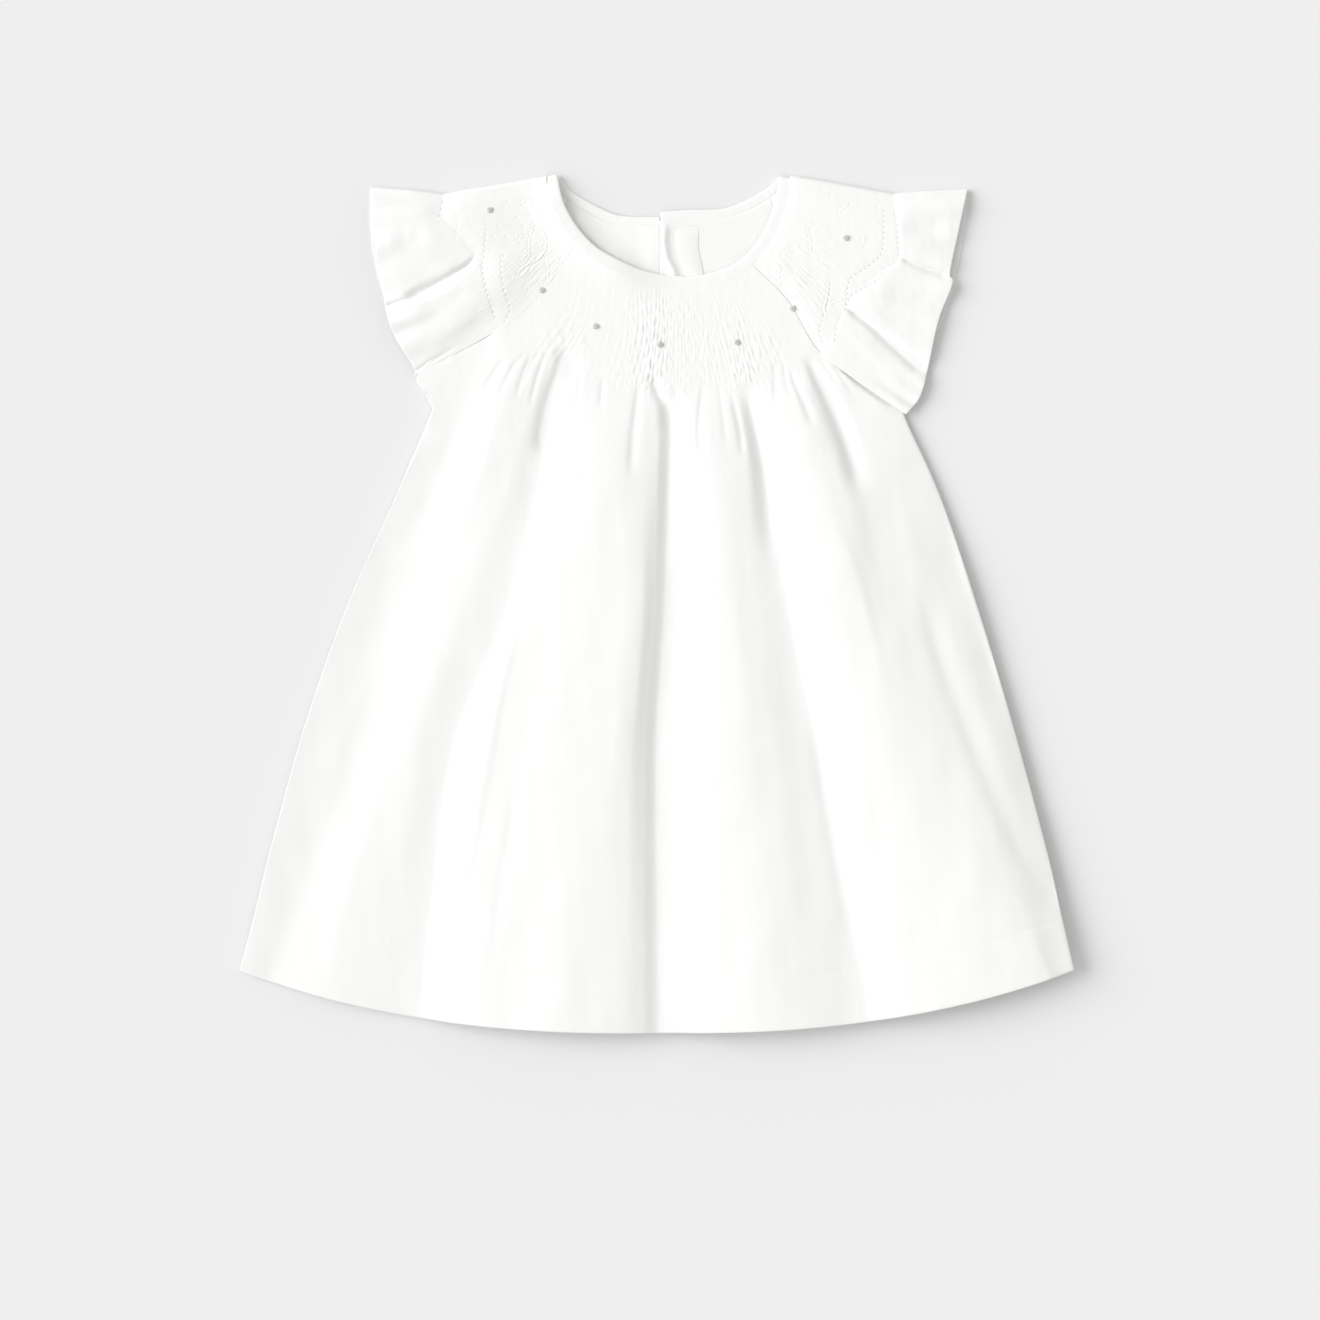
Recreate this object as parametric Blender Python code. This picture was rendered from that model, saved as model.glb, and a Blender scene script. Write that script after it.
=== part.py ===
"""A toddler's smocked dress with raglan flutter sleeves, laid flat on its back.

The cloth rests on Z = 0 with its front up (+Z), its neck towards +Y and its hem towards -Y. The tables
are in millimetres, measured from the middle of the dress. Each piece is a thin wall of cloth on a grid
of rows (neck to hem) and columns (across), and pieces stay SEAM_GAP apart where they are sewn.
"""
import math

import bpy
from mathutils import Vector

MM = 0.001

# Cloth, in mm.
CLOTH = 1.2              # wall of the body panels
SLEEVE_CLOTH = 1.2       # wall of the sleeves
SEAM_GAP = 0.3           # left between pieces that are sewn together
RAGLAN_GAP = 0.6         # left along the front raglan seams, whose two edges are stepped differently
YOKE_LIFT = 3.0          # underside of the front yoke above the table
FRONT_BINDING = (6.5, 2.0)   # width and thickness of the front neck binding
BACK_BINDING = (5.0, 1.7)    # width and thickness of the back neck binding

# Smocking: fine pleats round the yoke, caught together in alternate pairs by each row of stitches.
FRONT_PLEATS = 36
SLEEVE_PLEATS = 18
PLEAT_RELIEF = 1.0       # crest of a pleat above its valley
PLEAT_SWAY = 0.26        # sideways lean of a crest between stitch rows, in pleat widths

# The opening edge of the front neck, from the left shoulder to the right one: x, y.
NECK_FRONT = (
    (-49.2, 213.0), (-46.8, 202.0), (-41.8, 191.8), (-34.3, 182.3), (-25.3, 175.3), (-6.8, 166.8),
    (13.2, 163.8), (27.8, 165.8), (39.8, 170.8), (49.0, 179.5), (55.0, 190.0), (59.2, 202.0), (61.2, 213.0),
)
NECK_RAGLAN_LEFT = 0.235     # where the raglan seams meet the neck, as parts of NECK_FRONT
NECK_RAGLAN_RIGHT = 0.700

# The top edge of each back half, from the shoulder to the centre-back opening: x, y.
NECK_BACK_LEFT = ((-46.5, 211.0), (-41.8, 205.8), (-22.8, 195.8), (-11.8, 193.8), (1.2, 193.8))
NECK_BACK_RIGHT = ((58.5, 211.0), (56.2, 208.8), (45.2, 202.2), (32.8, 197.8), (16.2, 197.2), (1.8, 196.2))
CENTRE_BACK = 1.5            # x of the centre-back opening

# Rows of the front, down from its neck: the row's two ends, how far its middle hangs below them, the shares
# of the row taken by the plain cloth beside its outer pleats, and the grid rows up to the next line. The
# first row follows the neck's own curve between those ends.
#  name          left x, left y   right x, right y  sag    sides         rows
FRONT_ROWS = (
    ("neck",        -41.0, 175.2,    52.0, 171.2,   16.5,  0.080, 0.080, 4),
    ("mid smocking", -57.0, 156.5,   65.5, 152.0,   21.0,  0.080, 0.080, 4),
    ("release",     -77.0, 138.0,    82.0, 126.0,   24.0,  0.090, 0.090, 2),
    ("under frill", -98.0, 134.0,   104.0, 117.0,   29.0,  0.160, 0.165, 1),
    ("armhole",    -119.5, 113.5,   124.0, 101.0,   31.5,  0.200, 0.190, 1),
    ("underarm",   -111.8,  97.5,   124.3,  93.2,   33.0,  0.163, 0.185, 2),
    ("waist",      -130.3,  53.8,   141.8,  53.8,   35.0,  0.165, 0.180, 2),
    ("upper skirt", -155.0, -2.0,   160.5,  -2.0,   35.0,  0.160, 0.165, 2),
    ("mid skirt",  -175.3, -59.8,   177.8, -59.8,   33.5,  0.160, 0.160, 2),
    ("low skirt",  -192.3, -120.8,  194.3, -120.8,  32.0,  0.160, 0.160, 1),
    ("hem stitch", -201.0, -156.3,  202.3, -156.3,  31.0,  0.160, 0.160, 2),
    ("hem",        -208.2, -182.8,  208.2, -182.3,  31.35,  0.160, 0.160, 0),
)
RELEASE_ROW = 2          # the smocking ends here and the skirt is gathered out of it
SIDE_PLEATS = 0.08       # share of the pleats that the side column covers
ROW_FULLNESS = 2.5       # 2 is a parabola; more makes a row's ends turn up later

# Lines along the skirt, from the left side seam to the right one. Each has its place across the pleats
# (0 to 1) and the height of the cloth's underside, at the release, half way down and at the hem.
#  name              place: release mid   hem     height: release mid   hem
FOLD_LINES = (
    ("left seam",             0.000, 0.000, 0.000,        1.5,  1.5,  1.5),
    ("left margin",           0.020, 0.018, 0.020,        1.8,  2.2,  2.2),
    ("left slope",            0.045, 0.040, 0.036,        2.6,  4.0,  3.8),
    ("left crest",            0.085, 0.085, 0.076,        3.6,  8.5,  9.5),
    ("left far slope",        0.120, 0.118, 0.118,        3.0,  5.5,  6.5),
    ("left valley",           0.143, 0.142, 0.148,        1.8,  3.4,  4.0),
    ("second rise",           0.165, 0.176, 0.178,        3.8,  9.0,  9.8),
    ("second crest",          0.200, 0.222, 0.222,        4.6, 11.2, 12.0),
    ("faint crease",          0.245, 0.246, 0.246,        4.2, 10.6, 11.2),
    ("second crest end",      0.400, 0.385, 0.385,        4.6, 11.5, 12.4),
    ("centre slope",          0.462, 0.432, 0.434,        4.0,  7.8,  8.4),
    ("centre valley left",    0.488, 0.458, 0.458,        1.8,  2.4,  2.6),
    ("centre valley right",   0.512, 0.484, 0.484,        1.8,  2.2,  2.4),
    ("third rise",            0.532, 0.508, 0.508,        4.0,  8.8,  9.4),
    ("third crest",           0.566, 0.560, 0.575,        4.6, 10.4, 11.4),
    ("third crest end",       0.690, 0.648, 0.640,        4.4, 10.0, 11.0),
    ("right valley slope",    0.730, 0.710, 0.700,        3.2,  5.6,  6.6),
    ("right valley",          0.755, 0.752, 0.752,        1.8,  3.6,  4.2),
    ("fourth rise",           0.778, 0.785, 0.788,        3.8,  8.6,  9.4),
    ("fourth crest",          0.830, 0.850, 0.860,        4.4, 10.8, 12.2),
    ("fourth crest end",      0.900, 0.900, 0.930,        4.0,  9.4, 11.6),
    ("side valley",           0.945, 0.930, 0.962,        1.9,  5.4,  8.6),
    ("side streak",           0.965, 0.955, 0.978,        2.6,  5.8,  7.4),
    ("right margin",          0.985, 0.980, 0.990,        1.8,  3.6,  6.4),
    ("right seam",            1.000, 1.000, 1.000,        1.5,  2.2,  5.0),
)

# Spokes of the upper layer of each sleeve, from the front raglan seam to the shoulder fold. Each runs from
# the neck to the stitched end of the smocking and out to the frill's free edge, with the height of the
# middle of the cloth at those two places.
#  name               stitch x, y       edge x, y        stitch z, edge z
LEFT_SPOKES = (
    ("raglan",        -77.6, 138.6,    -120.6, 114.2,      5.4,  5.4),
    ("lower roll",    -81.5, 145.0,    -121.4, 118.6,      6.0,  8.2),
    ("lower lobe",    -82.8, 153.0,    -131.0, 134.5,      6.8, 10.6),
    ("lower shoulder", -84.8, 161.0,   -135.0, 146.5,      6.2,  9.2),
    ("valley",        -88.5, 172.0,    -135.8, 152.6,      4.6,  5.4),
    ("upper lobe",    -99.5, 186.0,    -139.8, 173.0,      6.2, 10.5),
    ("upper crest",  -106.8, 193.0,    -142.2, 193.0,      6.0,  8.6),
    ("fold",         -106.5, 202.8,    -143.0, 206.8,      3.8,  4.2),
)
RIGHT_SPOKES = (
    ("raglan",         82.7, 126.7,     124.6,  94.8,      5.4,  5.4),
    ("lowest lobe",    88.2, 134.0,     131.6, 103.6,      6.4,  9.6),
    ("low valley",     94.0, 149.2,     135.6, 117.8,      4.8,  5.6),
    ("middle lobe",   103.0, 157.4,     140.6, 141.0,      6.8, 11.0),
    ("middle crest",  112.5, 166.0,     147.8, 160.2,      6.2,  9.8),
    ("high valley",   121.5, 173.8,     146.6, 165.8,      4.8,  5.6),
    ("upper lobe",    120.4, 188.0,     150.8, 186.2,      6.2, 10.2),
    ("fold",          118.4, 203.0,     155.0, 205.8,      3.8,  4.2),
)
SLEEVE_ROWS = (4, 4)         # grid rows of the smocked head and of the frill
BEND_STEPS = 3               # grid columns round the shoulder fold
UNDER_STEPS = 4              # grid columns of the under layer, which lies flat on the table
UNDER_BULGE = 8.0            # how far the under layer's free edge swells out
UNDER_GAP = 0.8              # left between the under layer and the back

# The raglan and armhole edge of each back half, below its corner at the neck: x, y.
BACK_RAGLAN_LEFT = ((-62.0, 168.0), (-79.6, 139.8), (-100.0, 124.6), (-119.5, 112.8))
BACK_RAGLAN_RIGHT = ((69.5, 162.0), (84.4, 125.6), (104.0, 111.0), (124.4, 100.2))
BACK_NECK_GAP = 0.8          # left between a back half and its neck binding, whose curve is finer
NECK_CORNER = 0.25           # where the back raglan seams meet the back neck, as a part of its edge
BACK_COLUMNS = (0.0, 0.06, 0.2, 0.4, 0.6, 0.8, 1.0)   # shares of a back half, side seam to centre back

# Across a binding, from the opening: share of the width, share of the thickness.
BINDING_ROLL = ((0.0, 0.45), (0.1, 0.85), (0.35, 1.0), (0.7, 0.95), (0.92, 0.75), (1.0, 0.45))
FRONT_BINDING_STEPS = 28
BACK_BINDING_STEPS = 10

# The facing on the inside of the right back's opening, in mm.
FACING_X = (9.8, 21.2)
FACING_TOP = 189.5
FACING_FOOT = 110.0
FACING_CLOTH = 0.9
FACING_CORNER = 2.0          # how far the rounding of its top corners runs down its sides
FACING_ROUND = 0.3           # share of that at which the rounding is broken
FACING_STEPS = 4

# Colours, roughness.
COTTON = ((0.93, 0.925, 0.91, 1.0), 0.9)
BINDING_COTTON = ((0.95, 0.945, 0.93, 1.0), 0.85)


def catmull(points, at):
    """The point of a smooth curve through the given points, at a place from 0 to len(points) - 1."""
    last = len(points) - 1
    start = min(max(int(math.floor(at)), 0), last - 1)
    part = at - start
    before, here = points[max(start - 1, 0)], points[start]
    there, after = points[start + 1], points[min(start + 2, last)]
    found = []
    for a, b, c, d in zip(before, here, there, after):
        if start == 0:
            a = 2.0 * b - c
        if start + 2 > last:
            d = 2.0 * c - b
        found.append(0.5 * (2 * b + (c - a) * part + (2 * a - 5 * b + 4 * c - d) * part ** 2
                            + (3 * b - a - 3 * c + d) * part ** 3))
    return tuple(found)


def blend(low, high, part):
    """A value that goes evenly from low to high."""
    return low + (high - low) * part


def soft(part):
    """Nought to one with a level start and end."""
    part = min(max(part, 0.0), 1.0)
    return part * part * (3.0 - 2.0 * part)


def edge_offset(points, along, distance):
    """A point beside a curve: its place from 0 to 1, moved to the right of the way it runs."""
    last = len(points) - 1
    here = catmull(points, along * last)
    near = catmull(points, max(along * last - 0.05, 0.0))
    far = catmull(points, min(along * last + 0.05, last))
    run = Vector((far[0] - near[0], far[1] - near[1])).normalized()
    return here[0] + run.y * distance, here[1] - run.x * distance


def neck_front(along, distance):
    """A point of the front neck, moved from the opening out into the cloth."""
    return edge_offset(NECK_FRONT, along, distance)


def row_share(place, left_side, right_side):
    """Where a place across the pleats lies along a row, with plain cloth at the two sides."""
    if place < SIDE_PLEATS:
        return left_side * place / SIDE_PLEATS
    if place > 1.0 - SIDE_PLEATS:
        return 1.0 - right_side * (1.0 - place) / SIDE_PLEATS
    return blend(left_side, 1.0 - right_side, (place - SIDE_PLEATS) / (1.0 - 2.0 * SIDE_PLEATS))


def front_row_point(row, place):
    """The plan position on one of FRONT_ROWS."""
    name, left_x, left_y, right_x, right_y, sag, left_side, right_side, _ = FRONT_ROWS[row]
    share = row_share(place, left_side, right_side)
    if name == "neck":
        along = blend(NECK_RAGLAN_LEFT, NECK_RAGLAN_RIGHT, share)
        return neck_front(along, FRONT_BINDING[0] + SEAM_GAP)
    hang = sag * (1.0 - abs(2.0 * share - 1.0) ** ROW_FULLNESS)
    return blend(left_x, right_x, share), blend(left_y, right_y, share) - hang


def front_plan(place, down):
    """The plan position on the front, for a place across and a row number that need not be whole."""
    column = [front_row_point(row, place) for row in range(len(FRONT_ROWS))]
    return catmull(column, down)


def fold_height(place, down):
    """The underside of the front skirt, between its fold lines."""
    hem = len(FRONT_ROWS) - 1
    part = (down - RELEASE_ROW) / (hem - RELEASE_ROW)
    lines = []
    for _, place_0, place_1, place_2, height_0, height_1, height_2 in FOLD_LINES:
        if part < 0.5:
            upper = soft(part * 2.0)
            lines.append((blend(place_0, place_1, upper), blend(height_0, height_1, upper)))
        else:
            lower = part * 2.0 - 1.0
            lines.append((blend(place_1, place_2, lower), blend(height_1, height_2, lower)))
    for (place_a, height_a), (place_b, height_b) in zip(lines, lines[1:]):
        if place <= place_b:
            return blend(height_a, height_b, soft((place - place_a) / (place_b - place_a)))
    return lines[-1][1]


def front_height(place, down):
    """The underside of the front: level under the yoke, folded below it."""
    if down <= RELEASE_ROW:
        folded = 0.0
    else:
        folded = soft((down - RELEASE_ROW) / 1.5)
    return blend(YOKE_LIFT, fold_height(place, max(down, RELEASE_ROW)), folded)


def gather_strength(column, down):
    """How far a pleat stands up: full in the smocking, dying away unevenly below it."""
    reach = 1.1 + 0.5 * math.sin(column * 2.3) + 0.3 * math.sin(column * 0.9)
    return 1.0 - soft((down - RELEASE_ROW + 0.2) / reach)


def grid_rows(table_rows):
    """The row numbers of a grid, with each table row split into its own steps."""
    downs = [0.0]
    for row, steps in enumerate(table_rows):
        downs.extend(row + (step + 1) / steps for step in range(steps))
    return downs


def material(name, finish):
    """A plain cloth material."""
    colour, roughness = finish
    made = bpy.data.materials.new(name)
    made.use_nodes = True
    shader = made.node_tree.nodes["Principled BSDF"]
    shader.inputs["Base Color"].default_value = colour
    shader.inputs["Roughness"].default_value = roughness
    made.diffuse_color = colour
    return made


def cloth_wall(name, outer, inner, finish):
    """A closed wall between two grids of points, in mm, that have the same rows and columns."""
    rows, columns = len(outer), len(outer[0])
    points = [Vector(point) * MM for grid in (outer, inner) for row in grid for point in row]
    under = rows * columns

    def spot(row, column):
        return row * columns + column

    faces = []
    for row in range(rows - 1):
        for column in range(columns - 1):
            here, below = spot(row, column), spot(row + 1, column)
            ring = (here, below, below + 1, here + 1)
            faces.append(ring)
            faces.append(tuple(corner + under for corner in reversed(ring)))
    rim = [spot(0, column) for column in range(columns)]
    rim += [spot(row, columns - 1) for row in range(1, rows)]
    rim += [spot(rows - 1, column) for column in range(columns - 2, -1, -1)]
    rim += [spot(row, 0) for row in range(rows - 2, 0, -1)]
    for here, there in zip(rim, rim[1:] + rim[:1]):
        faces.append((here, there, there + under, here + under))
    mesh = bpy.data.meshes.new(name)
    mesh.from_pydata(points, [], faces)
    mesh.update()
    if signed_volume(mesh) < 0.0:
        mesh.flip_normals()
    mesh.shade_smooth()
    mesh.set_sharp_from_angle(angle=math.radians(50))
    made = bpy.data.objects.new(name, mesh)
    made.data.materials.append(material(name, finish))
    bpy.context.scene.collection.objects.link(made)
    return made


def signed_volume(mesh):
    """The volume inside the mesh, below nought where its faces point inwards."""
    total = 0.0
    for face in mesh.polygons:
        corners = [mesh.vertices[index].co for index in face.vertices]
        for second, third in zip(corners[1:], corners[2:]):
            total += corners[0].dot(second.cross(third)) / 6.0
    return total


def stacked(plan, bottom, thickness):
    """The two grids of a wall that is measured straight up from its underside."""
    outer = [[(x, y, low + thickness) for (x, y), low in zip(*pair)] for pair in zip(plan, bottom)]
    inner = [[(x, y, low) for (x, y), low in zip(*pair)] for pair in zip(plan, bottom)]
    return outer, inner


def make_front():
    """The front: smocked at the top, gathered below the smocking and folded down to the hem."""
    columns = 2 * FRONT_PLEATS
    outer, inner = [], []
    for step, down in enumerate(grid_rows([row[-1] for row in FRONT_ROWS[:-1]])):
        top, under = [], []
        for column in range(columns + 1):
            place = column / columns
            x, y = front_plan(place, down)
            low = front_height(place, down)
            under.append((x, y, low))
            crest = 0.0
            if column % 2:
                crest = gather_strength(column, down)
                if down > RELEASE_ROW - 0.5:
                    crest *= soft(min(place, 1.0 - place) / SIDE_PLEATS)
                x, y = front_plan(place + pleat_lean(column, step) * crest / FRONT_PLEATS, down)
            top.append((x, y, low + CLOTH + PLEAT_RELIEF * crest))
        outer.append(top)
        inner.append(under)
    return cloth_wall("front", outer, inner, COTTON)


def pleat_lean(column, step):
    """The sideways lean of a pleat's crest, the other way at each row of stitches."""
    return PLEAT_SWAY if (column // 2 + step) % 2 else -PLEAT_SWAY


def back_neck_point(left, along, distance):
    """A point of a back half's neck, moved from the opening down into the cloth."""
    if left:
        return edge_offset(NECK_BACK_LEFT, along, distance)
    return edge_offset(NECK_BACK_RIGHT, along, -distance)


def back_raglan(left):
    """The raglan and armhole edge of a back half, from its corner at the neck."""
    corner = back_neck_point(left, NECK_CORNER, BACK_BINDING[0] + BACK_NECK_GAP)
    return (corner,) + (BACK_RAGLAN_LEFT if left else BACK_RAGLAN_RIGHT)


def make_back(name, left):
    """One half of the back: flat on the table, turned up at its side seam to meet the front's edge."""
    centre = CENTRE_BACK + (-0.5 if left else 0.5) * SEAM_GAP
    raglan = back_raglan(left)
    underarm = [row[0] for row in FRONT_ROWS].index("underarm")
    top_y = back_neck_point(left, 1.0, BACK_BINDING[0] + BACK_NECK_GAP)[1]
    middle_y = front_plan(0.5, underarm)[1]
    plan, bottom = [], []
    for step, corner in enumerate(raglan):
        line = []
        for share in BACK_COLUMNS:
            if step == 0:
                along = blend(NECK_CORNER, 1.0, share)
                line.append(back_neck_point(left, along, BACK_BINDING[0] + BACK_NECK_GAP))
            else:
                foot = blend(top_y, middle_y, step / len(raglan))
                line.append((blend(corner[0], centre, share), blend(corner[1], foot, soft(share))))
        line[-1] = (centre, line[-1][1])
        plan.append(line)
        bottom.append([0.0] * len(BACK_COLUMNS))
    for down in range(underarm, len(FRONT_ROWS)):
        line = []
        for share in BACK_COLUMNS:
            x, y = front_plan(0.5 * share if left else 1.0 - 0.5 * share, down)
            line.append((blend(x, centre, soft((share - 0.5) / 0.5)), y))
        plan.append(line)
        seam = max(front_height(0.0 if left else 1.0, down) - SEAM_GAP - CLOTH, 0.0)
        bottom.append([seam] + [0.0] * (len(BACK_COLUMNS) - 1))
    outer, inner = stacked(plan, bottom, CLOTH)
    return cloth_wall(name, outer, inner, COTTON)


def seam_beside_front(left, down):
    """A point of the sleeve's front raglan seam, beside the front's own edge."""
    side = 0.0 if left else 1.0
    here = front_plan(side, down)
    below = front_plan(side, down + 0.1)
    run = Vector((below[0] - here[0], below[1] - here[1])).normalized()
    turn = -1.0 if left else 1.0
    return here[0] - run.y * RAGLAN_GAP * turn, here[1] + run.x * RAGLAN_GAP * turn


def sleeve_point(left, spokes, across, out):
    """The middle of a sleeve's upper layer: across from seam to fold (1), out to stitching (1) and edge (2)."""
    spoke = catmull([row[1:] for row in spokes], across * (len(spokes) - 1))
    stitch, edge = spoke[0:2], spoke[2:4]
    raglan = NECK_RAGLAN_LEFT if left else NECK_RAGLAN_RIGHT
    along = blend(raglan, 0.0 if left else 1.0, across)
    neck = neck_front(along, FRONT_BINDING[0] + SEAM_GAP)
    neck_z = YOKE_LIFT + 0.5 * SLEEVE_CLOTH
    if out > 1.0:
        part = out - 1.0
        x, y = blend(stitch[0], edge[0], part), blend(stitch[1], edge[1], part)
        return x, y, blend(spoke[4], spoke[5], part)
    x, y = blend(neck[0], stitch[0], out), blend(neck[1], stitch[1], out)
    first = spokes[0]
    start = neck_front(raglan, FRONT_BINDING[0] + SEAM_GAP)
    seam = seam_beside_front(left, out * RELEASE_ROW)
    pull = 1.0 - soft(across * 3.0)
    x += (seam[0] - blend(start[0], first[1], out)) * pull
    y += (seam[1] - blend(start[1], first[2], out)) * pull
    return x, y, blend(neck_z, spoke[4], out)


def surface_normal(grid, row, column):
    """The upward normal of a grid of points at one of them."""
    rows, columns = len(grid), len(grid[0])
    down = Vector(grid[min(row + 1, rows - 1)][column]) - Vector(grid[max(row - 1, 0)][column])
    side = Vector(grid[row][min(column + 1, columns - 1)]) - Vector(grid[row][max(column - 1, 0)])
    normal = down.cross(side).normalized()
    return normal if normal.z >= 0.0 else -normal


def beside_raglan(left, at):
    """A point of the sleeve's back raglan seam, beside the back half's own edge."""
    points = back_raglan(left)
    start = min(int(at), len(points) - 2)
    here, there = Vector(points[start]), Vector(points[start + 1])
    run = (there - here).normalized()
    away = Vector((run.y, -run.x)) * UNDER_GAP * (1.0 if left else -1.0)
    return here.lerp(there, at - start) + away


def under_point(left, fold, part, out):
    """The middle of a sleeve's under layer, between the shoulder fold (0) and the back raglan seam (1)."""
    edge = beside_raglan(left, min(2.0 * out, 3.9))
    swell = UNDER_BULGE * 4.0 * part * (1.0 - part) * max(out - 1.0, 0.0)
    x = blend(fold[0], edge[0], part) + (-swell if left else swell)
    return x, blend(fold[1], edge[1], part), 0.5 * SLEEVE_CLOTH


def make_sleeve(name, left):
    """A sleeve: a smocked head and a frill, folded over at the shoulder onto a flat under layer."""
    spokes = LEFT_SPOKES if left else RIGHT_SPOKES
    columns = 2 * SLEEVE_PLEATS
    outs = grid_rows(SLEEVE_ROWS)
    places = [column / columns for column in range(columns + 1)]
    upper = [[sleeve_point(left, spokes, across, out) for across in places] for out in outs]
    half = 0.5 * SLEEVE_CLOTH
    outer, inner = [], []
    for step, out in enumerate(outs):
        top, under = [], []
        for column in range(columns + 1):
            middle = Vector(upper[step][column])
            normal = surface_normal(upper, step, column)
            crest = 0.0
            if column % 2:
                crest = PLEAT_RELIEF * (1.0 - soft((out - 1.0) / 0.3))
            top.append(middle + normal * (half + crest))
            under.append(middle - normal * half)
        fold = Vector(upper[step][-1])
        radius = 0.5 * (fold.z - half)
        for bend in range(1, BEND_STEPS + 1):
            turn = math.pi * bend / (BEND_STEPS + 1)
            way = Vector((0.0, math.sin(turn), math.cos(turn)))
            centre = Vector((fold.x, fold.y, half + radius))
            top.append(centre + way * (radius + half))
            under.append(centre + way * (radius - half))
        for turn in range(UNDER_STEPS + 1):
            middle = Vector(under_point(left, fold, turn / UNDER_STEPS, out))
            top.append(middle - Vector((0.0, 0.0, half)))
            under.append(middle + Vector((0.0, 0.0, half)))
        outer.append(top)
        inner.append(under)
    return cloth_wall(name, outer, inner, COTTON)


def make_binding(name, point, size, steps, low):
    """A narrow folded strip along a neck edge, thin at its edges and full in its middle."""
    width, thickness = size
    plan = [[point(step / steps, share * width) for share, _ in BINDING_ROLL] for step in range(steps + 1)]
    tops = [low + thickness * full for _, full in BINDING_ROLL]
    outer = [[(x, y, top) for (x, y), top in zip(line, tops)] for line in plan]
    inner = [[(x, y, low) for x, y in line] for line in plan]
    return cloth_wall(name, outer, inner, BINDING_COTTON)


def make_facing():
    """The strip that faces the right back's opening, seen inside the neck."""
    low = CLOTH + SEAM_GAP
    left, right = FACING_X
    plan = []
    for step in range(FACING_STEPS + 1):
        y = blend(FACING_TOP, FACING_FOOT, step / FACING_STEPS)
        drop = FACING_CORNER if step == 0 else 0.0
        shoulder_drop, inset = FACING_ROUND * drop, FACING_ROUND * FACING_CORNER
        plan.append([(left, y - drop), (left + inset, y - shoulder_drop), (0.5 * (left + right), y),
                     (right - inset, y - shoulder_drop), (right, y - drop)])
    outer, inner = stacked(plan, [[low] * len(plan[0])] * len(plan), FACING_CLOTH)
    return cloth_wall("placket_facing", outer, inner, BINDING_COTTON)


def main():
    """Clear the scene and make every piece of the dress."""
    for old in list(bpy.data.objects):
        bpy.data.objects.remove(old, do_unlink=True)
    make_back("back_left", True)
    make_back("back_right", False)
    make_front()
    make_sleeve("sleeve_left", True)
    make_sleeve("sleeve_right", False)
    make_binding("neck_binding_front", neck_front, FRONT_BINDING, FRONT_BINDING_STEPS, YOKE_LIFT)
    for name, left in (("neck_binding_back_left", True), ("neck_binding_back_right", False)):
        def point(along, distance, left=left):
            return back_neck_point(left, along, distance)
        make_binding(name, point, BACK_BINDING, BACK_BINDING_STEPS, 0.0)
    make_facing()


main()
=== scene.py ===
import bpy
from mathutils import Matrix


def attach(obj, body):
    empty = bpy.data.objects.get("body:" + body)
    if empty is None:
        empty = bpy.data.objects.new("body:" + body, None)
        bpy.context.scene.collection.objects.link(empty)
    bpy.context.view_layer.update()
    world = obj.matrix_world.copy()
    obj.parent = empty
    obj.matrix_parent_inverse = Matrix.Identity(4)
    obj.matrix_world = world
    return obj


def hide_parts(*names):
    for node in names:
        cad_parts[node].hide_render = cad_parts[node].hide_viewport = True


bl_info = {
    "name": "Smocked toddler dress",
    "version": (1, 0, 0),
    "blender": (4, 5, 0),
    "location": "3D View > Sidebar > Dress",
    "description": "Makes the cloth, smocking, stitches and stage of a toddler's dress laid flat",
    "category": "Object",
}

import math
from collections import namedtuple
from functools import partial

import bmesh
import bpy
import numpy as np
from bpy.props import FloatProperty, FloatVectorProperty, PointerProperty
from mathutils import Vector
from mathutils.bvhtree import BVHTree

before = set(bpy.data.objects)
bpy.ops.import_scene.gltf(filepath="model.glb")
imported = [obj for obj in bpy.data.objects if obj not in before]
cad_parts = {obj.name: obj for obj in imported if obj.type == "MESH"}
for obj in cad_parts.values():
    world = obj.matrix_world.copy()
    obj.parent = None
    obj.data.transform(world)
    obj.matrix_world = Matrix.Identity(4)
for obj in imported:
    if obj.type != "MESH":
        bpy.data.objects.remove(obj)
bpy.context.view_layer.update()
MM = 0.001

# ---------------------------------------------------------------------------------------------------------
# The cut of the dress, in mm from its middle. These repeat the solids' own sizes.

WALL = 1.2                             # thickness of the solids' body panels and sleeves
YOKE_LIFT = 3.0                        # underside of the front yoke
FRONT_BINDING = (6.5, 2.0)             # width and thickness
BACK_BINDING = (5.0, 1.8)
FRONT_SEAM = FRONT_BINDING[0] - 0.8    # from the neck's edge to the cloth's, which runs under the binding
BACK_SEAM = BACK_BINDING[0] - 0.6
NECK_CORNER = 0.25                     # where along the back's neck its raglan starts
CENTRE_BACK = 1.5                      # plan x where the back halves meet

NECK_FRONT = (
    (-49.2, 213.0), (-46.8, 202.0), (-41.8, 191.8), (-34.3, 182.3), (-25.3, 175.3), (-6.8, 166.8),
    (13.2, 163.8), (27.8, 165.8), (39.8, 170.8), (49.0, 179.5), (55.0, 190.0), (59.2, 202.0),
    (61.2, 213.0),
)
NECK_RAGLAN = (0.235, 0.700)           # where along the neck the left and the right raglan start
NECK_BACK_LEFT = (
    (-46.5, 211.0), (-41.8, 205.8), (-22.8, 195.8), (-11.8, 193.8), (1.2, 193.8),
)
NECK_BACK_RIGHT = (
    (58.5, 211.0), (56.2, 208.8), (45.2, 202.2), (32.8, 197.8), (16.2, 197.2), (1.8, 196.2),
)

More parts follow.
